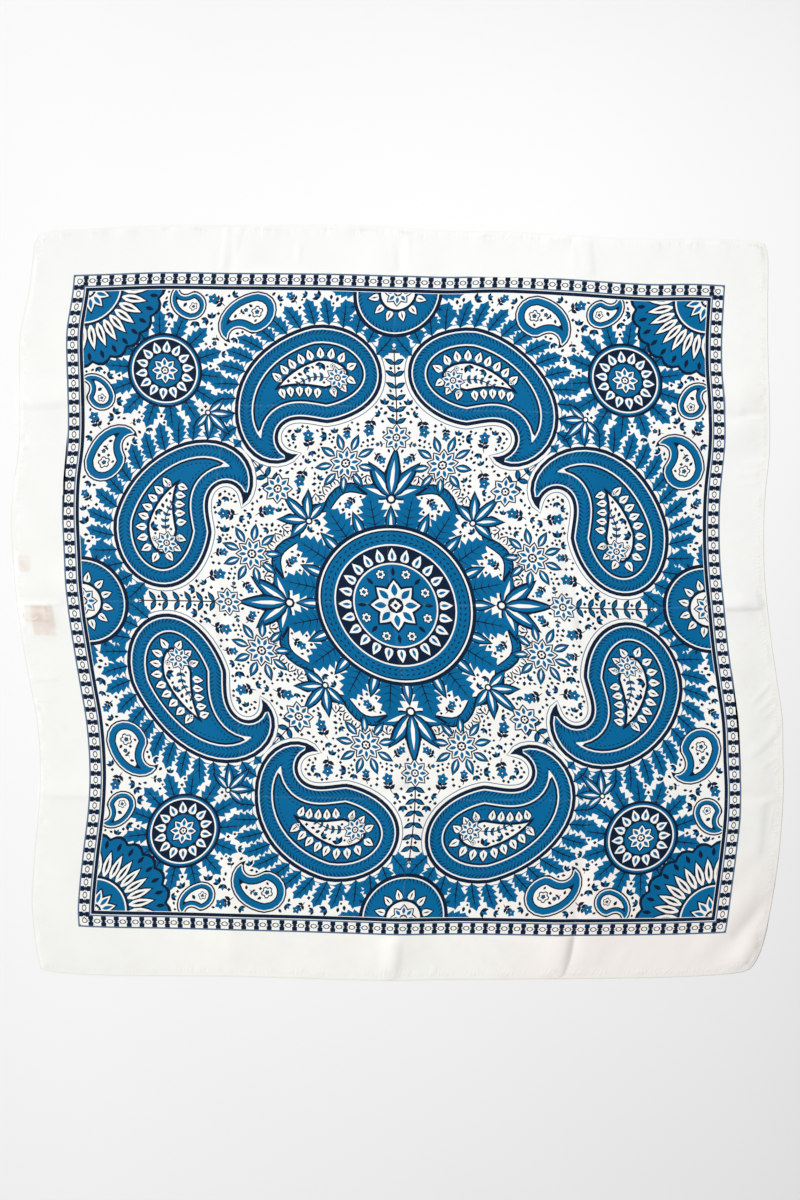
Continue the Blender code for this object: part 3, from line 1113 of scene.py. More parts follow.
def straightened(points, edges, slack=0.05, longest=9.0):
    """The same lines without points on nearly straight stretches, in steps that stay short."""
    joined = {}
    for a, b in edges:
        joined.setdefault(a, []).append(b)
        joined.setdefault(b, []).append(a)
    gone = set()
    for _ in range(3):
        held = set()
        for middle in sorted(joined):
            if middle in gone or middle in held or len(joined[middle]) != 2:
                continue
            a, b = joined[middle]
            if a in held or b in held or b in joined[a]:
                continue
            chord = points[b] - points[a]
            first, second = points[middle] - points[a], points[b] - points[middle]
            straight = first.dot(chord) > 0 and second.dot(chord) > 0 and chord.length < longest
            if straight and abs(first.cross(chord)) < slack * chord.length:
                joined[a][joined[a].index(middle)] = b
                joined[b][joined[b].index(middle)] = a
                gone.add(middle)
                held.update((a, b))
    kept = [point for point in sorted(joined) if point not in gone]
    number = {point: n for n, point in enumerate(kept)}
    lines = {tuple(sorted((number[a], number[b]))) for a in kept for b in joined[a]}
    return [settled(points[point]) for point in kept], sorted(lines)


def elbow(place, step):
    """Points up a line across the eighth as far as its diagonal, and from there to its side."""
    upright = np.linspace(0, place, round(place / step) + 1)
    level = np.linspace(place, PRINT_EDGE, round((PRINT_EDGE - place) / step) + 1)
    return [complex(place, up) for up in upright] + [complex(across, place) for across in level[1:]]


def crease_lines(points, lines, step):
    """Adds the creases, so that every fold of the cloth runs along edges of the mesh."""
    for place in sorted({abs(crease.place) for crease in CREASES} - {0}):
        line = elbow(place, step)
        lines = lines + [(len(points) + k, len(points) + k + 1) for k in range(len(line) - 1)]
        points = points + [flat_vector(point) for point in line]
    return points, lines


def field_points(near_to, step):
    """Points beside the creases and a grid over the print, but none close to those there already."""
    full = {(int(p.x // FIELD_CELL), int(p.y // FIELD_CELL)) for p in near_to}
    count = int(PRINT_EDGE / step) + 1
    grid = [complex(i * step, j * step) for i in range(1, count) for j in range(i + 1)]
    grid = [p for p in grid if (int(p.real // FIELD_CELL), int(p.imag // FIELD_CELL)) not in full]
    beside = [complex(across, BESIDE_MIDDLE) for across in np.arange(5.0, PRINT_EDGE, step)]
    for place in BESIDE_CREASES:
        beside += elbow(place, step)
    return grid + beside


def eighth_mesh(shapes, step):
    """(points, triangles, inks) of an eighth: only the print's lines and what the lie needs."""
    points, triangles, inks = painted(shapes)
    lines = borders(triangles, inks)
    tree = tree_of(points, triangles)
    points, lines = crease_lines(*straightened(points, lines), step)
    points = points + [flat_vector(point) for point in field_points(points, step)]
    points, _, faces, *_ = delaunay_2d_cdt(points, lines, [], 0, NEAREST)
    middles = [(points[a] + points[b] + points[c]) / 3 for a, b, c in faces]
    found = [inks[tree.find_nearest((middle.x, middle.y, 0))[2]] for middle in middles]
    return np.array([(p.x, p.y) for p in points]), np.array(faces), np.array(found)


def mirrored_eight_times(points, triangles, inks):
    """The whole square from its eighth, welded along the mirror lines."""
    all_points, all_triangles = [], []
    for swap in (False, True):
        for across in (1, -1):
            for up in (1, -1):
                copy = points[:, ::-1] if swap else points
                flips = swap ^ (across < 0) ^ (up < 0)
                offset = len(all_points) * len(points)
                all_points.append(copy * (across, up))
                all_triangles.append((triangles[:, ::-1] if flips else triangles) + offset)
    return welded(np.concatenate(all_points), np.concatenate(all_triangles), np.tile(inks, 8))


def welded(points, triangles, inks):
    """The mesh with points that lie in one place made one."""
    points, number = np.unique(np.round(points, 3) + 0.0, axis=0, return_inverse=True)
    faces = number.reshape(-1)[triangles]
    whole = (faces[:, 0] != faces[:, 1]) & (faces[:, 1] != faces[:, 2]) & (faces[:, 2] != faces[:, 0])
    return points, faces[whole], inks[whole]


def outward(point):
    return max(abs(point.real), abs(point.imag))


def nip_points():
    """Points along the crest and down both flanks of every nip."""
    found = []
    for nip in NIPS:
        along_it = complex(nip.to_x - nip.from_x, nip.to_y - nip.from_y)
        length = abs(along_it)
        way = along_it / length
        for run in np.arange(0.0, length, 3.0):
            share = run / length
            sag = 4 * nip.sag * share * (1 - share)
            for reach, side in ((nip.left, -1), (nip.right, 1)):
                for part in (0.0, 0.25, 0.5, 0.75, 1.0):
                    across = side * part * reach + sag
                    found.append(complex(nip.from_x, nip.from_y) + way * (run - 1j * across))
    return found


def cell_of(point, cell):
    """The column and row of the point on a square grid."""
    return round(point.real / cell), round(point.imag / cell)


def apart(points, cell):
    """The first of the points in every cell of a square grid."""
    first = {}
    for point in points:
        first.setdefault(cell_of(point, cell), point)
    return list(first.values())


def loop_lines(first, count):
    """Edges that join so many points, numbered from the first, into a closed loop."""
    return [(first + k, first + (k + 1) % count) for k in range(count)]


def margin_ring(inner, rows, step, fine):
    """(points, triangles) of the plain margin, from the print's edge to the edge of the cloth."""
    outer = [complex(HALF, up) * turn for turn in QUARTERS for up in np.arange(-HALF, HALF, HEM_COLUMN)]
    inner = sorted(inner, key=cmath.phase)
    lines = loop_lines(0, len(outer)) + loop_lines(len(outer), len(inner))
    hem = [
        complex(HALF - inside, up) * turn
        for inside in rows
        for turn in QUARTERS
        for up in np.arange(inside - HALF, HALF - inside - 0.1, HEM_COLUMN)
    ]
    grid = np.arange(-HALF, HALF + 1, step)
    free = [complex(x, y) for x in grid for y in grid]
    free = [p for p in free if PRINT_EDGE + 2 < outward(p) < HALF - 14]
    if fine:
        nips = apart(nip_points(), NIP_SPACING)
        nips = [p for p in nips if PRINT_EDGE + 1.2 < outward(p) < HALF - 0.4]
        full = {cell_of(p, NIP_CELL) for p in nips}
        hem = [p for p in hem if cell_of(p, NIP_CELL) not in full]
        free = [p for p in free if cell_of(p, NIP_CELL) not in full] + nips
    points = [flat_vector(point) for point in outer + inner + hem + free]
    points, _, faces, *_ = delaunay_2d_cdt(points, lines, [], 0, NEAREST)
    points, faces = np.array([(p.x, p.y) for p in points]), np.array(faces)
    middles = np.abs(points[faces].mean(axis=1)).max(axis=1)
    return points, faces[middles > PRINT_EDGE]


def whole_cloth(shapes, step, rows, fine):
    """(points, triangles, inks) of one face of the cloth, from the print and the plain margin."""
    points, triangles, inks = mirrored_eight_times(*eighth_mesh(shapes, step))
    rim = np.abs(points).max(axis=1) > PRINT_EDGE - SNAP
    ring_points, ring_triangles = margin_ring([complex(*p) for p in points[rim]], rows, step, fine)
    points, triangles, inks = welded(
        np.concatenate((points, ring_points)),
        np.concatenate((triangles, ring_triangles + len(points))),
        np.concatenate((inks, np.zeros(len(ring_triangles), int))),
    )
    return np.stack(printed_place(*points.T), axis=1), triangles, inks


def rim_edges(triangles):
    """The edges that only one triangle has, in that triangle's direction."""
    ends = np.concatenate((triangles[:, [0, 1]], triangles[:, [1, 2]], triangles[:, [2, 0]]))
    ways = np.sort(ends, axis=1)
    _, index, count = np.unique(ways, axis=0, return_inverse=True, return_counts=True)
    return ends[count[index.reshape(-1)] == 1]


# Finishes


class Signal:
    """A number that varies over a surface. Sums on it add Math nodes."""

    def __init__(self, finish, socket):
        self.finish = finish
        self.socket = socket

    def math(self, operation, *others):
        sockets = dict(enumerate((self, *others)))
        made = self.finish.node("ShaderNodeMath", {"operation": operation}, sockets)
        return Signal(self.finish, made.outputs[0])

    def __add__(self, other):
        return self.math("ADD", other)

    def __sub__(self, other):
        return self.math("SUBTRACT", other)

    def __mul__(self, other):
        return self.math("MULTIPLY", other)

    def __rsub__(self, other):
        return self.math("MULTIPLY", -1.0) + other

    __radd__ = __add__
    __rmul__ = __mul__

    def size(self):
        return self.math("ABSOLUTE")

    def sine(self):
        return self.math("SINE")

    def larger(self, other):
        return self.math("MAXIMUM", other)

    def step(self, low, high):
        """0 at low, 1 at high, and smooth between; low may be the larger."""
        made = self.finish.node(
            "ShaderNodeMapRange",
            {"interpolation_type": "SMOOTHSTEP"},
            {"Value": self, "From Min": low, "From Max": high},
        )
        return Signal(self.finish, made.outputs["Result"])

    def between(self, low, high, soft):
        """1 from low to high and 0 outside, each end as soft as given."""
        return self.step(low - soft, low + soft) * self.step(high + soft, high - soft)


class Finish:
    """One material: a Principled BSDF and the nodes that feed it."""

    def __init__(self, name, roughness, **constants):
        self.material = bpy.data.materials.new(name)
        self.material.use_nodes = True
        self.tree = self.material.node_tree
        self.shader = self.tree.nodes["Principled BSDF"]
        self.shader.inputs["Roughness"].default_value = roughness
        for socket, value in constants.items():
            self.shader.inputs[socket.replace("_", " ")].default_value = value

    def put(self, socket, value):
        if isinstance(value, Signal):
            value = value.socket
        if isinstance(value, bpy.types.NodeSocket):
            self.tree.links.new(value, socket)
        else:
            socket.default_value = value

    def node(self, kind, settings=None, sockets=None):
        made = self.tree.nodes.new(kind)
        for name, value in (settings or {}).items():
            setattr(made, name, value)
        for key, value in (sockets or {}).items():
            self.put(made.inputs[key], value)
        return made

    def feed(self, socket, value):
        self.put(self.shader.inputs[socket], value)

    def mix(self, share, low, high):
        """A colour from two."""
        low, high = ((*c, 1.0) if isinstance(c, tuple) else c for c in (low, high))
        sockets = {0: share, 6: low, 7: high}
        return self.node("ShaderNodeMix", {"data_type": "RGBA"}, sockets).outputs[2]

    def noise(self, place, scale, detail=2.0):
        sockets = {"Vector": place, "Scale": scale, "Detail": detail}
        return Signal(self, self.node("ShaderNodeTexNoise", {}, sockets).outputs["Fac"])

    def object_place(self):
        return self.node("ShaderNodeTexCoord").outputs["Object"]

    def split(self, place):
        parts = self.node("ShaderNodeSeparateXYZ", {}, {0: place}).outputs
        return Signal(self, parts[0]), Signal(self, parts[1]), Signal(self, parts[2])

    def bump(self, height, distance, strength=1.0):
        sockets = {"Height": height, "Distance": distance, "Strength": strength}
        self.feed("Normal", self.node("ShaderNodeBump", {}, sockets).outputs["Normal"])


# Where the silk stands off the labels in a low bow, and how much of them it hides there
Bow = namedtuple("Bow", "x y bend hides")
LIFTED_BOW = Bow(-337.3, -16.8, 0.085, 0.6)
PUCKER_PITCH = 4.3
SILK_GLOSS = {"Sheen_Weight": 0.12, "Sheen_Roughness": 0.35, "Specular_IOR_Level": 0.06}


def times(colour, *shares):
    """A colour made darker, by one share or by one each for red, green and blue."""
    return tuple(c * s for c, s in zip(colour, shares if len(shares) == 3 else shares * 3))


def twill(across, up, pitch):
    """Height of fine diagonal lines, from 0 to 1."""
    return ((across + up) * (2 * math.pi / (pitch * math.sqrt(2)))).sine() * 0.5 + 0.5


def plain_ground(finish, x, y, inside, broad, blotches, ivory):
    """Undyed silk, a little warmer, rosier or greyer from place to place. The warm tint is partly its own
    tone and partly painted light; the grey towards the top and the left is painted shade.
    """
    # Warm tint, partly the silk's own tone and partly painted light, as it also brightens the silk: towards
    # the bottom, in broad patches and along the hem at the lower right
    warmth_and_painted_light = y.step(150, -HALF) * 0.55 + broad.step(0.4, 0.7) * 0.25
    warmth_and_painted_light = warmth_and_painted_light + inside.step(7.5, 4.0) * x.step(200, 340) * 0.35
    ground = tuple(ivory)
    for share, tint in (
        (warmth_and_painted_light, (1.045, 1.03, 0.98)),
        (blotches.step(0.42, 0.72) * 0.5, (0.985, 0.962, 0.955)),
        (x.step(60, 160) * y.step(-215, -290) * 0.8, (1.03, 0.968, 0.945)),
        # Painted shade: greyer towards the top and towards the left
        (y.step(250, 330) * 0.5, (0.965, 0.965, 0.965)),
        (x.step(-180, -330) * 0.6, (0.95, 0.95, 0.94)),
    ):
        ground = finish.mix(share, ground, times(ivory, *tint))
    return ground


def tapes_showing(x, y, blotches):
    """How much of the label tapes comes through, less in the bow where the silk stands off them."""
    showing = sum(
        x.between(label.left, label.right, 1.8) * y.between(label.bottom, label.top, 1.8) * label.shows
        for label in LABELS
    )
    aside = x - LIFTED_BOW.x
    bow = (y - LIFTED_BOW.y - aside * aside * LIFTED_BOW.bend).size()
    lifted = bow.step(1.1, 0.2) * aside.size().step(7.0, 5.0)
    return showing * (1.0 - lifted * LIFTED_BOW.hides) * (0.45 + 0.75 * blotches.step(0.3, 0.62))


def marks_showing(x, y, blotches):
    """How strong the faint brown marks at the corners are."""
    showing = 0.0
    for mark in MARKS:
        far = (x - mark.x).size() * (1 / mark.wide) + (y - mark.y).size() * (1 / mark.high)
        showing = far.step(1.3, 0.1) * mark.strength + showing
    return showing * (0.4 + blotches)


def edge_line(x, y, inside, on_side):
    """A thin line of shade along the edge, as strong on each side as the hem turns from the light."""
    side_line = x.step(20, -20) * 0.36 + x.step(-20, 20) * y.step(40, -330) * 0.3
    end_line = y.step(-20, 20) * 0.05 + y.step(20, -20) * 0.22
    return inside.step(1.2, 0.5) * (on_side * side_line + (1.0 - on_side) * end_line)


def hem_puckers(x, y, inside, on_side, broad, blotches):
    """Short ripples across the hem, from -1 to 1, uneven in pitch and in strength."""
    run = y * on_side + x * (1.0 - on_side)
    ripples = (run * (2 * math.pi / PUCKER_PITCH) + blotches * 24 + broad * 9).sine()
    return ripples * inside.between(2.6, 9.5, 1.6) * (blotches.step(0.36, 0.6) * 0.75 + 0.25)


def printed_silk(cloth, colours):
    """Silk twill with three inks on it, worn a little at its creases, over tapes that show through. Painted
    shade lies along its edge and in the hem's puckers, and painted light and shade in its plain ground.
    """
    finish = Finish("printed_silk", 0.5, **SILK_GLOSS)
    on_cut = finish.node("ShaderNodeUVMap", {"uv_map": BAKE_MAP}).outputs[0]
    u, v, _ = finish.split(on_cut)
    x, y = (u - 0.5) * (2 * HALF), (v - 0.5) * (2 * HALF)
    inside = HALF - x.size().larger(y.size())
    on_side = (x.size() - y.size()).step(-1, 1)
    place = finish.object_place()
    broad, patches, blotches = (finish.noise(place, scale) for scale in (14.0, 38.0, 70.0))
    fine = finish.noise(place, 420.0, 3.0)
    ivory = colours.ivory

    colour = plain_ground(finish, x, y, inside, broad, blotches, ivory)
    colour = finish.mix(tapes_showing(x, y, blotches), colour, tuple(colours.tape))
    colour = finish.mix(marks_showing(x, y, blotches), colour, times(ivory, 0.82, 0.68, 0.5))
    ink = Signal(finish, finish.node("ShaderNodeAttribute", {"attribute_name": "ink"}).outputs["Fac"])
    blue = finish.mix(broad.step(0.3, 0.7), times(colours.blue, 0.93), tuple(colours.blue))
    for number, inked in ((BLUE, blue), (NAVY, tuple(colours.navy)), (GREY, tuple(colours.grey))):
        colour = finish.mix(ink.math("COMPARE", number, 0.25), colour, inked)
    worn = sum(
        ((x if crease.runs == "up" else y) - crease.place).size().step(1.1, 0.2) for crease in CREASES
    )
    colour = finish.mix(worn * fine.step(0.35, 0.65) * 0.05, colour, tuple(ivory))
    colour = finish.mix(edge_line(x, y, inside, on_side), colour, times(ivory, 0.7, 0.68, 0.62))
    puckers = hem_puckers(x, y, inside, on_side, broad, blotches)
    # Painted shade in the hem's puckers: dark spots along the top hem and short streaks along the right one
    at_top = blotches.step(0.52, 0.68) * inside.between(2.4, 5.6, 1.4) * y.step(330, 340)
    shade_streaks_right = puckers.step(0.3, 0.9) * on_side * x.step(300, 330) * patches.step(0.5, 0.62)
    painted_pucker_shade = at_top * 0.5 + shade_streaks_right * 0.32
    finish.feed("Base Color", finish.mix(painted_pucker_shade, colour, times(ivory, 0.88, 0.88, 0.86)))
    finish.feed("Roughness", 0.46 + 0.1 * fine + 0.05 * ink.math("GREATER_THAN", 0.5))
    ribs = twill(x, y, cloth.weave / MM)
    height = ribs * 0.55 + fine * 0.35 + broad * 2.5 + blotches * 1.8 + puckers * 0.5
    finish.bump(height, 0.1 * MM, 0.6)
    return finish.material


def plain_silk(cloth, colours):
    """The same twill, not printed."""
    finish = Finish("plain_silk", 0.52, **SILK_GLOSS)
    place = finish.object_place()
    x, y, _ = finish.split(place)
    fine = finish.noise(place, 420.0, 3.0)
    cream = times(colours.ivory, 0.93)
    finish.feed("Base Color", finish.mix(fine.step(0.3, 0.7), cream, tuple(colours.ivory)))
    finish.feed("Roughness", 0.46 + 0.1 * fine)
    finish.bump(twill(x, y, cloth.weave) * 0.6 + fine * 0.4, 0.1 * MM, 0.6)
    return finish.material


def tape_satin(colours):
    """Blank woven tape with fine cross ribs."""
    finish = Finish("label_tape", 0.6, Sheen_Weight=0.15, Sheen_Roughness=0.4)
    place = finish.object_place()
    _, y, _ = finish.split(place)
    fine = finish.noise(place, 600.0, 3.0)
    ribs = (y * (2 * math.pi / (0.45 * MM))).sine() * 0.5 + 0.5
    dark = times(colours.tape, 0.86)
    finish.feed("Base Color", finish.mix(ribs * 0.6 + fine * 0.4, dark, tuple(colours.tape)))
    finish.feed("Roughness", 0.52 + 0.14 * fine)
    finish.bump(ribs * 0.7 + fine * 0.3, 0.08 * MM, 0.7)
    return finish.material


def twisted_thread(colours):
    """Fine sewing thread, darker between its turns."""
    finish = Finish("hem_thread", 0.55, Sheen_Weight=0.2, Sheen_Roughness=0.4)
    x, y, _ = finish.split(finish.object_place())
    twist = ((x - y) * (2 * math.pi / (0.3 * MM))).sine() * 0.5 + 0.5
    dark = times(colours.thread, 0.8)
    finish.feed("Base Color", finish.mix(twist, dark, tuple(colours.thread)))
    finish.bump(twist, 0.05 * MM, 0.6)
    return finish.material


def pale_floor(stage):
    """Matt pale paper, with painted shade: a little darker to the left and to the lower right of the cloth.
    """
    finish = Finish("pale_floor", 0.9, Specular_IOR_Level=0.1)
    place = finish.object_place()
    x, y, _ = finish.split(place)
    paper = finish.mix(finish.noise(place, 9.0), times(stage.floor, 0.985), tuple(stage.floor))
    # Painted shade: the floor darker to the left and to the lower right
    paper = finish.mix(x.step(-0.28, -0.45), paper, times(stage.floor, 0.957))
    painted_shade_lower_right = x.step(0.3, 0.44) * y.step(0.25, -0.05)
    paper = finish.mix(painted_shade_lower_right, paper, times(stage.floor, 0.982, 0.974, 0.98))
    finish.feed("Base Color", paper)
    return finish.material


# Pieces


def new_piece(name, points, faces, material):
    """An object with its place in its mesh, smooth all over, in one material."""
    mesh = bpy.data.meshes.new(name)
    mesh.from_pydata(points, [], faces)
    mesh.materials.append(material)
    mesh.shade_smooth()
    piece = bpy.data.objects.new(name, mesh)
    bpy.context.scene.collection.objects.link(piece)
    return piece


def dress(piece, slot, *nodes):
    """Says what the piece moves with, and hides the solids that it stands for."""
    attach(piece, "root")
    if nodes:
        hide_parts(*nodes)
    return piece


def deselect_all():
    for thing in bpy.context.selected_objects:
        thing.select_set(False)


# Area in square millimetres from which a shape of the print shows on the back as well
SHOWS_ON_BACK = 900


def print_faces():
    """(points, triangles, inks) of the printed face and of the back, with the same rim."""
    drawing = Print()
    drawing.draw()
    points, triangles, inks = painted(drawing.shapes)
    inked = tree_of(points, [t for t, ink in zip(triangles, inks) if ink != IVORY])
    large = [shape for shape in drawing.shapes if abs(signed_area(shape[1])) > SHOWS_ON_BACK]
    drawing.strew(lambda at: inked.find_nearest((at.real, at.imag, 0))[3])
    rows = [row.inside for row in ROLL]
    front = whole_cloth(drawing.shapes, FIELD_STEP, rows[1:-1], fine=True)
    back = whole_cloth(large, BACK_STEP, rows[1::3], fine=False)
    return front, back


def shell_of(front, back):
    """One closed shell: the back's triangles turned over, the rim, then the front's triangles."""
    front_points, front_triangles, front_inks = front
    back_points, back_triangles, back_inks = back
    offset = len(front_points)
    back_number = {tuple(point): n + offset for n, point in enumerate(back_points)}
    rim = []
    for a, b in rim_edges(front_triangles):
        rim.append((b, a, back_number[tuple(front_points[a])]))
        rim.append((b, back_number[tuple(front_points[a])], back_number[tuple(front_points[b])]))
    faces = np.concatenate((back_triangles[:, ::-1] + offset, np.array(rim), front_triangles))
    inks = np.concatenate((back_inks, np.zeros(len(rim), int), front_inks))
    return faces, inks


# Places on a triangle, as shares of its three corners, where its height is tested
SAMPLES = [(i / 4, j / 4, 1 - (i + j) / 4) for i in range(4) for j in range(5 - i) if 0 < i + j and j < 4]


class BANDANA_OT_printed_cloth(bpy.types.Operator):
    """Make the printed square of silk as it lies"""

    bl_idname = "bandana.printed_cloth"
    bl_label = "Printed Cloth"

    def execute(self, context):
        cloth, colours = context.scene.bandana_cloth, context.scene.bandana_colours
        silk = cloth.silk / MM
        front, back = print_faces()
        faces, inks = shell_of(front, back)
        x, y = front[0].T
        back_x, back_y = np.clip(back[0], -HALF + 0.2, HALF - 0.2).T
        points = np.concatenate((
            in_place(x, y, silk_top(x, y, silk)),
            in_place(back_x, back_y, self.back_height(back[0], back[1], silk)),
        ))
        piece = new_piece("printed_cloth", points, faces, printed_silk(cloth, colours))
        mesh = piece.data
        mesh.attributes.new("ink", "FLOAT", "FACE").data.foreach_set("value", inks.astype(np.float32))
        on_cut = np.concatenate((front[0], back[0])) / (2 * HALF) + 0.5
        corners = np.zeros(len(mesh.loops), np.int32)
        mesh.loops.foreach_get("vertex_index", corners)
        mesh.uv_layers.new(name=BAKE_MAP).uv.foreach_set("vector", on_cut[corners].astype(np.float32).ravel())
        mesh.normals_split_custom_set_from_vertices(self.normals(front[0], back[0], silk))
        dress(piece, "printed_silk", "cloth_panel")
        return {"FINISHED"}

    def back_height(self, points, triangles, silk):
        """Under the printed face by its thickness, and lower where a wide triangle would cut into it."""

        def ceiling(x, y):
            inside = inside_edge(x, y)
            clear = BACK_CLEARANCE * ease((inside - 8) / 12)
            return silk_top(x, y, silk) - silk * growing(0.2, inside, 1.2) - clear

        height = ceiling(*points.T)
        for _ in range(4):
            drop = np.zeros_like(height)
            for shares in SAMPLES:
                place = np.einsum("tkc,k->ct", points[triangles], shares)
                over = height[triangles] @ shares - ceiling(*place)
                for corner in triangles.T:
                    np.maximum.at(drop, corner, over)
            height = height - drop
        return np.maximum(height, 0.0)

    def normals(self, front, back, silk):
        """The true normals of both faces, so that the print's uneven triangles don't show."""
        found = []
        for side, points in ((1, front), (-1, back)):
            slope_x, slope_y = silk_slopes(*points.T, silk)
            normal = np.stack((-slope_x, -slope_y, np.ones_like(slope_x)), axis=1) * side
            found.append(normal / np.linalg.norm(normal, axis=1)[:, None])
        return np.concatenate(found).tolist()


# Section of a turned hem, as (distance inside the edge, share of its height)
HEM_SECTION = (
    (0.55, 0.45),
    (0.8, 0.12),
    (1.3, 0.0),
    (4.5, 0.0),
    (4.95, 0.08),
    (5.0, 0.34),
    (4.7, 0.44),
    (4.9, 0.54),
    (4.8, 0.8),
    (4.2, 0.95),
    (1.5, 1.0),
    (0.85, 0.85),
)


class BANDANA_OT_turned_hems(bpy.types.Operator):
    """Make the four turned hems under the edges of the silk"""

    bl_idname = "bandana.turned_hems"
    bl_label = "Turned Hems"

    def execute(self, context):
        cloth, colours = context.scene.bandana_cloth, context.scene.bandana_colours
        finish = plain_silk(cloth, colours)
        silk = cloth.silk / MM
        inner = HALF - HEM_INNER - 0.3
        for name, side, reach in (
            ("hem_top", 1j, HALF - 0.6),
            ("hem_right", 1, inner),
            ("hem_bottom", -1j, HALF - 0.6),
            ("hem_left", -1, inner),
        ):
            piece = self.strip(name, side, reach, silk, finish)
            dress(piece, "plain_silk", name)
        return {"FINISHED"}

    def strip(self, name, side, reach, silk, finish):
        """One hem, as its section carried along its side and closed at both ends."""
        columns = np.linspace(-reach, reach, round(2 * reach / HEM_COLUMN) + 1)
        inside = np.array([row[0] for row in HEM_SECTION])
        share = np.array([row[1] for row in HEM_SECTION])
        outward, run = np.meshgrid(HALF - inside, columns)
        place = outward * side + 1j * run * side
        x, y = place.real.ravel(), place.imag.ravel()
        under = silk_top(x, y, silk) - silk - 0.02
        lowest = relief(x, y)
        heights = lowest + np.maximum(under - lowest, 0.05) * np.tile(share, len(columns))
        points = in_place(x, y, heights)
        round_it = len(HEM_SECTION)
        faces = []
        for column in range(len(columns) - 1):
            for k in range(round_it):
                a, b = column * round_it + k, column * round_it + (k + 1) % round_it
                faces.append((a, a + round_it, b + round_it, b))
        last = (len(columns) - 1) * round_it
        faces.append(tuple(range(round_it)))
        faces.append(tuple(last + k for k in reversed(range(round_it))))
        piece = new_piece("turned_" + name, points, faces, finish)
        layer = piece.data.uv_layers.new(name=BAKE_MAP)
        for face in piece.data.polygons:
            for loop in face.loop_indices:
                column, k = divmod(piece.data.loops[loop].vertex_index, round_it)
                layer.uv[loop].vector = (column / (len(columns) - 1), k / round_it)
        return piece


STITCH_PITCH = 6.0
STITCH_LINE = 5.1  # how far inside the edge the stitches run
STITCH_LEAN = 62  # in degrees from the way to the edge


class BANDANA_OT_hem_stitches(bpy.types.Operator):
    """Make the short stitches that hold the hems down"""

    bl_idname = "bandana.hem_stitches"
    bl_label = "Hem Stitches"

    def execute(self, context):
        cloth, colours = context.scene.bandana_cloth, context.scene.bandana_colours
        stitch, faces = self.one_stitch(cloth)
        silk = cloth.silk / MM
        points, all_faces = [], []
        for side in QUARTERS:
            for number, run in enumerate(np.arange(-HALF + 8, HALF - 6, STITCH_PITCH)):
                run = run + 1.1 * math.sin(number * 2.3 + side.real)
                middle = complex(HALF - STITCH_LINE + 0.15 * math.sin(number * 1.9), run) * side
                lean = side * turned(STITCH_LEAN + 9 * math.sin(number * 3.1))
                place = middle + (stitch[:, 0] + 1j * stitch[:, 1]) * lean
                x, y = place.real, place.imag
                all_faces += [tuple(len(points) + k for k in face) for face in faces]
                points += in_place(x, y, silk_top(x, y, silk) + stitch[:, 2]).tolist()
        piece = new_piece("hem_stitches", points, all_faces, twisted_thread(colours))
        dress(piece, "plain_silk")
        return {"FINISHED"}

    def one_stitch(self, cloth):
        """A short length of thread with both ends going down, and its faces, in millimetres."""
        deselect_all()
        bpy.ops.mesh.primitive_cylinder_add(
            vertices=6, radius=cloth.thread / 2, depth=cloth.stitch, rotation=(0, math.pi / 2, 0)
        )
        thread = bpy.context.object
        bpy.ops.object.transform_apply(rotation=True)
        bpy.ops.object.mode_set(mode="EDIT")
        for share in (-0.25, 0.0, 0.25):
            bpy.ops.mesh.select_all(action="SELECT")
            bpy.ops.mesh.bisect(plane_co=(share * cloth.stitch, 0, 0), plane_no=(1, 0, 0))
        bpy.ops.object.mode_set(mode="OBJECT")
        found = np.array([v.co for v in thread.data.vertices]) / MM
        faces = [tuple(face.vertices) for face in thread.data.polygons]
        bpy.data.objects.remove(thread)
        reach = np.abs(found[:, 0]) / (cloth.stitch / MM / 2)
        found[:, 1:] *= (1 - 0.35 * reach**2)[:, None]
        found[:, 2] += 0.06 - 0.2 * reach**2
        return found, faces


class BANDANA_OT_label_tapes(bpy.types.Operator):
    """Make the three blank label tapes under the left margin"""

    bl_idname = "bandana.label_tapes"
    bl_label = "Label Tapes"

    def execute(self, context):
        cloth, colours = context.scene.bandana_cloth, context.scene.bandana_colours
        finish = tape_satin(colours)
        for label in LABELS:
            piece = self.tape(label, cloth, finish)
            dress(piece, "label_tape", label.name)
        return {"FINISHED"}

    def tape(self, label, cloth, finish):
        """A blank tape, modelled flat, then laid under the silk with its thickness upwards."""
        deselect_all()
        bpy.ops.mesh.primitive_grid_add(x_subdivisions=16, y_subdivisions=20, size=1.0)
        piece = bpy.context.object
        piece.name = piece.data.name = "blank_" + label.name
        flat = np.array([v.co for v in piece.data.vertices])
        x = label.left + (flat[:, 0] + 0.5) * (label.right - label.left)
        y = label.bottom + (flat[:, 1] + 0.5) * (label.top - label.bottom)
        height = relief(x, y) + label.layers_under * (cloth.tape / MM + 0.02)
        points = in_place(x, y, height)
        piece.data.vertices.foreach_set("co", points.ravel())
        piece.data.update()
        for kind, settings in (
            ("SOLIDIFY", {"thickness": cloth.tape, "offset": 1.0}),
            ("BEVEL", {"width": 0.06 * MM, "segments": 2, "angle_limit": math.radians(60)}),
        ):
            modifier = piece.modifiers.new(kind.lower(), kind)
            for setting, value in settings.items():
                setattr(modifier, setting, value)
            bpy.ops.object.modifier_apply(modifier=modifier.name)
        piece.data.materials.append(finish)
        piece.data.shade_smooth()
        return piece


# The place on the cut that the camera stands over, and how far the floor lies under the cloth
CAMERA_OVER = (1.9, 0.9)
FLOOR_GAP = 0.03 * MM


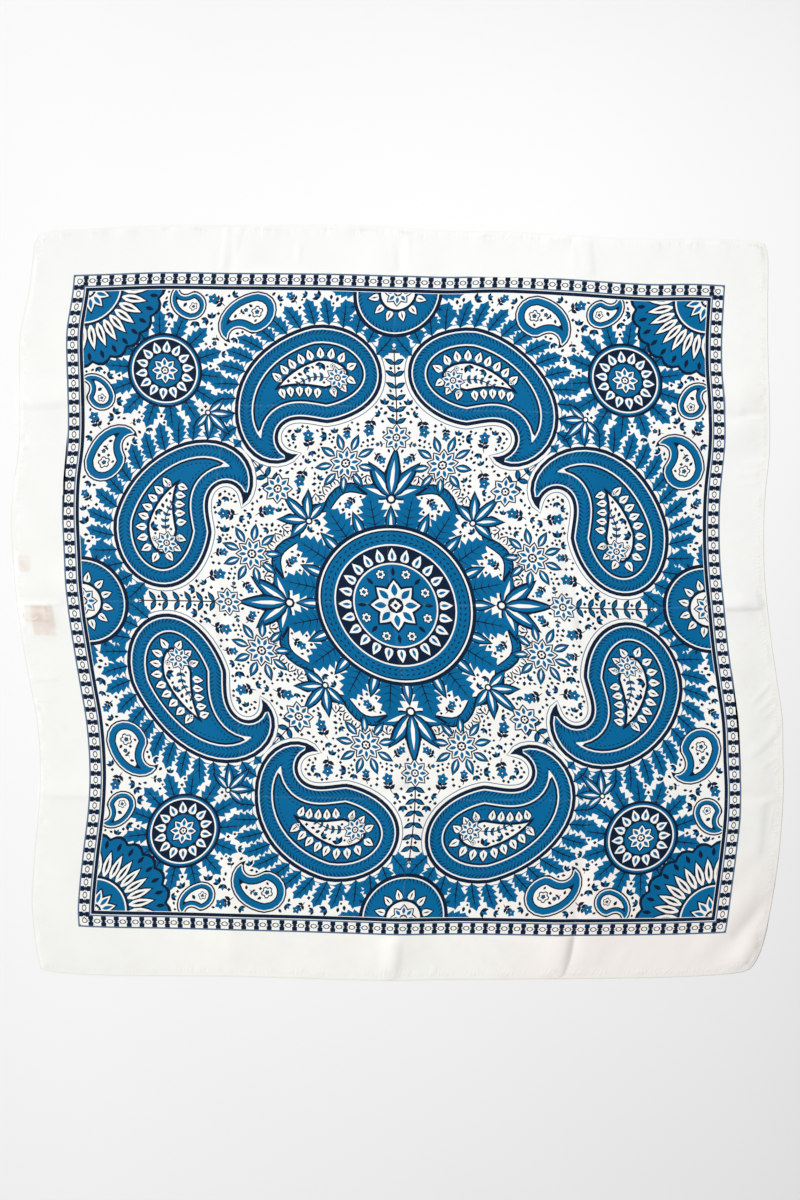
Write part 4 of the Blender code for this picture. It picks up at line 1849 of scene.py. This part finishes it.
class BANDANA_OT_stage(bpy.types.Operator):
    """Set the floor, the soft lights and the camera"""

    bl_idname = "bandana.stage"
    bl_label = "Stage"

    def execute(self, context):
        scene, stage = context.scene, context.scene.bandana_stage
        self.floor(stage)
        self.light("key_light", (-2.5, 0.5, 2.37), (0.9, -0.43, 0), 153, stage.key)
        self.light("top_light", (-0.346, 1.2, 1.2), (0.734, -0.394, 0), 67, stage.top)
        self.surround(scene, stage)
        self.camera(scene, stage)
        scene.view_settings.view_transform = "Standard"
        return {"FINISHED"}

    def floor(self, stage):
        """A plain floor just under the cloth, which rests at height 0."""
        deselect_all()
        bpy.ops.mesh.primitive_plane_add(size=8.0, location=(0, 0, -FLOOR_GAP))
        floor = bpy.context.object
        floor.name = "floor"
        floor.data.materials.append(pale_floor(stage))

    def light(self, name, at, aim, spread, power):
        """A soft round light that fades from its aim to the edge of its spread, in degrees."""
        lamp = bpy.data.lights.new(name, "SPOT")
        lamp.shadow_soft_size = 0.3
        lamp.spot_size = math.radians(spread)
        lamp.spot_blend = 1.0
        lamp.energy = power
        light = bpy.data.objects.new(name, lamp)
        light.location = at
        light.rotation_euler = (Vector(aim) - Vector(at)).to_track_quat("-Z", "Y").to_euler()
        bpy.context.scene.collection.objects.link(light)

    def surround(self, scene, stage):
        """White light from all round."""
        world = bpy.data.worlds.new("soft_surround")
        world.use_nodes = True
        background = world.node_tree.nodes["Background"]
        background.inputs["Color"].default_value = (1.0, 1.0, 1.0, 1.0)
        background.inputs["Strength"].default_value = stage.fill
        scene.world = world

    def camera(self, scene, stage):
        """Straight above, just right of and above the middle of the cut."""
        lens = bpy.data.cameras.new("camera")
        lens.lens = stage.lens
        camera = bpy.data.objects.new("camera", lens)
        over_x, over_y = CAMERA_OVER[0] - MIDDLE[0], CAMERA_OVER[1] - MIDDLE[1]
        camera.location = (over_x * MM, over_y * MM, stage.height)
        scene.collection.objects.link(camera)
        scene.camera = camera


class BANDANA_PT_sidebar(bpy.types.Panel):
    """The pieces of the bandana and their sizes and colours"""

    bl_label = "Bandana"
    bl_space_type = "VIEW_3D"
    bl_region_type = "UI"
    bl_category = "Bandana"

    def draw(self, context):
        for operator in OPERATORS:
            self.layout.operator(operator.bl_idname)
        for group in SETTINGS:
            box = self.layout.box()
            settings = getattr(context.scene, group)
            for name in settings.__annotations__:
                box.prop(settings, name)


SETTINGS = {
    "bandana_cloth": BandanaCloth,
    "bandana_colours": BandanaColours,
    "bandana_stage": BandanaStage,
}
OPERATORS = (
    BANDANA_OT_printed_cloth,
    BANDANA_OT_turned_hems,
    BANDANA_OT_hem_stitches,
    BANDANA_OT_label_tapes,
    BANDANA_OT_stage,
)
CLASSES = (*SETTINGS.values(), *OPERATORS, BANDANA_PT_sidebar)


def register():
    for made in CLASSES:
        bpy.utils.register_class(made)
    for name, group in SETTINGS.items():
        setattr(bpy.types.Scene, name, PointerProperty(type=group))


def unregister():
    for name in SETTINGS:
        delattr(bpy.types.Scene, name)
    for made in reversed(CLASSES):
        bpy.utils.unregister_class(made)


def declare_cloth():
    """Lists the names of the pieces made along with the cloth; nothing is done with the list."""
    names = ["turned_" + name for name in ("hem_top", "hem_right", "hem_bottom", "hem_left")]
    names += ["blank_" + label.name for label in LABELS] + ["hem_stitches"]


def main():
    for left_over in ("Cube", "Light", "Camera"):
        if left_over in bpy.data.objects:
            bpy.data.objects.remove(bpy.data.objects[left_over])
    register()
    for operator in OPERATORS:
        group, name = operator.bl_idname.split(".")
        getattr(getattr(bpy.ops, group), name)()
    declare_cloth()


if __name__ == "__main__":
    main()
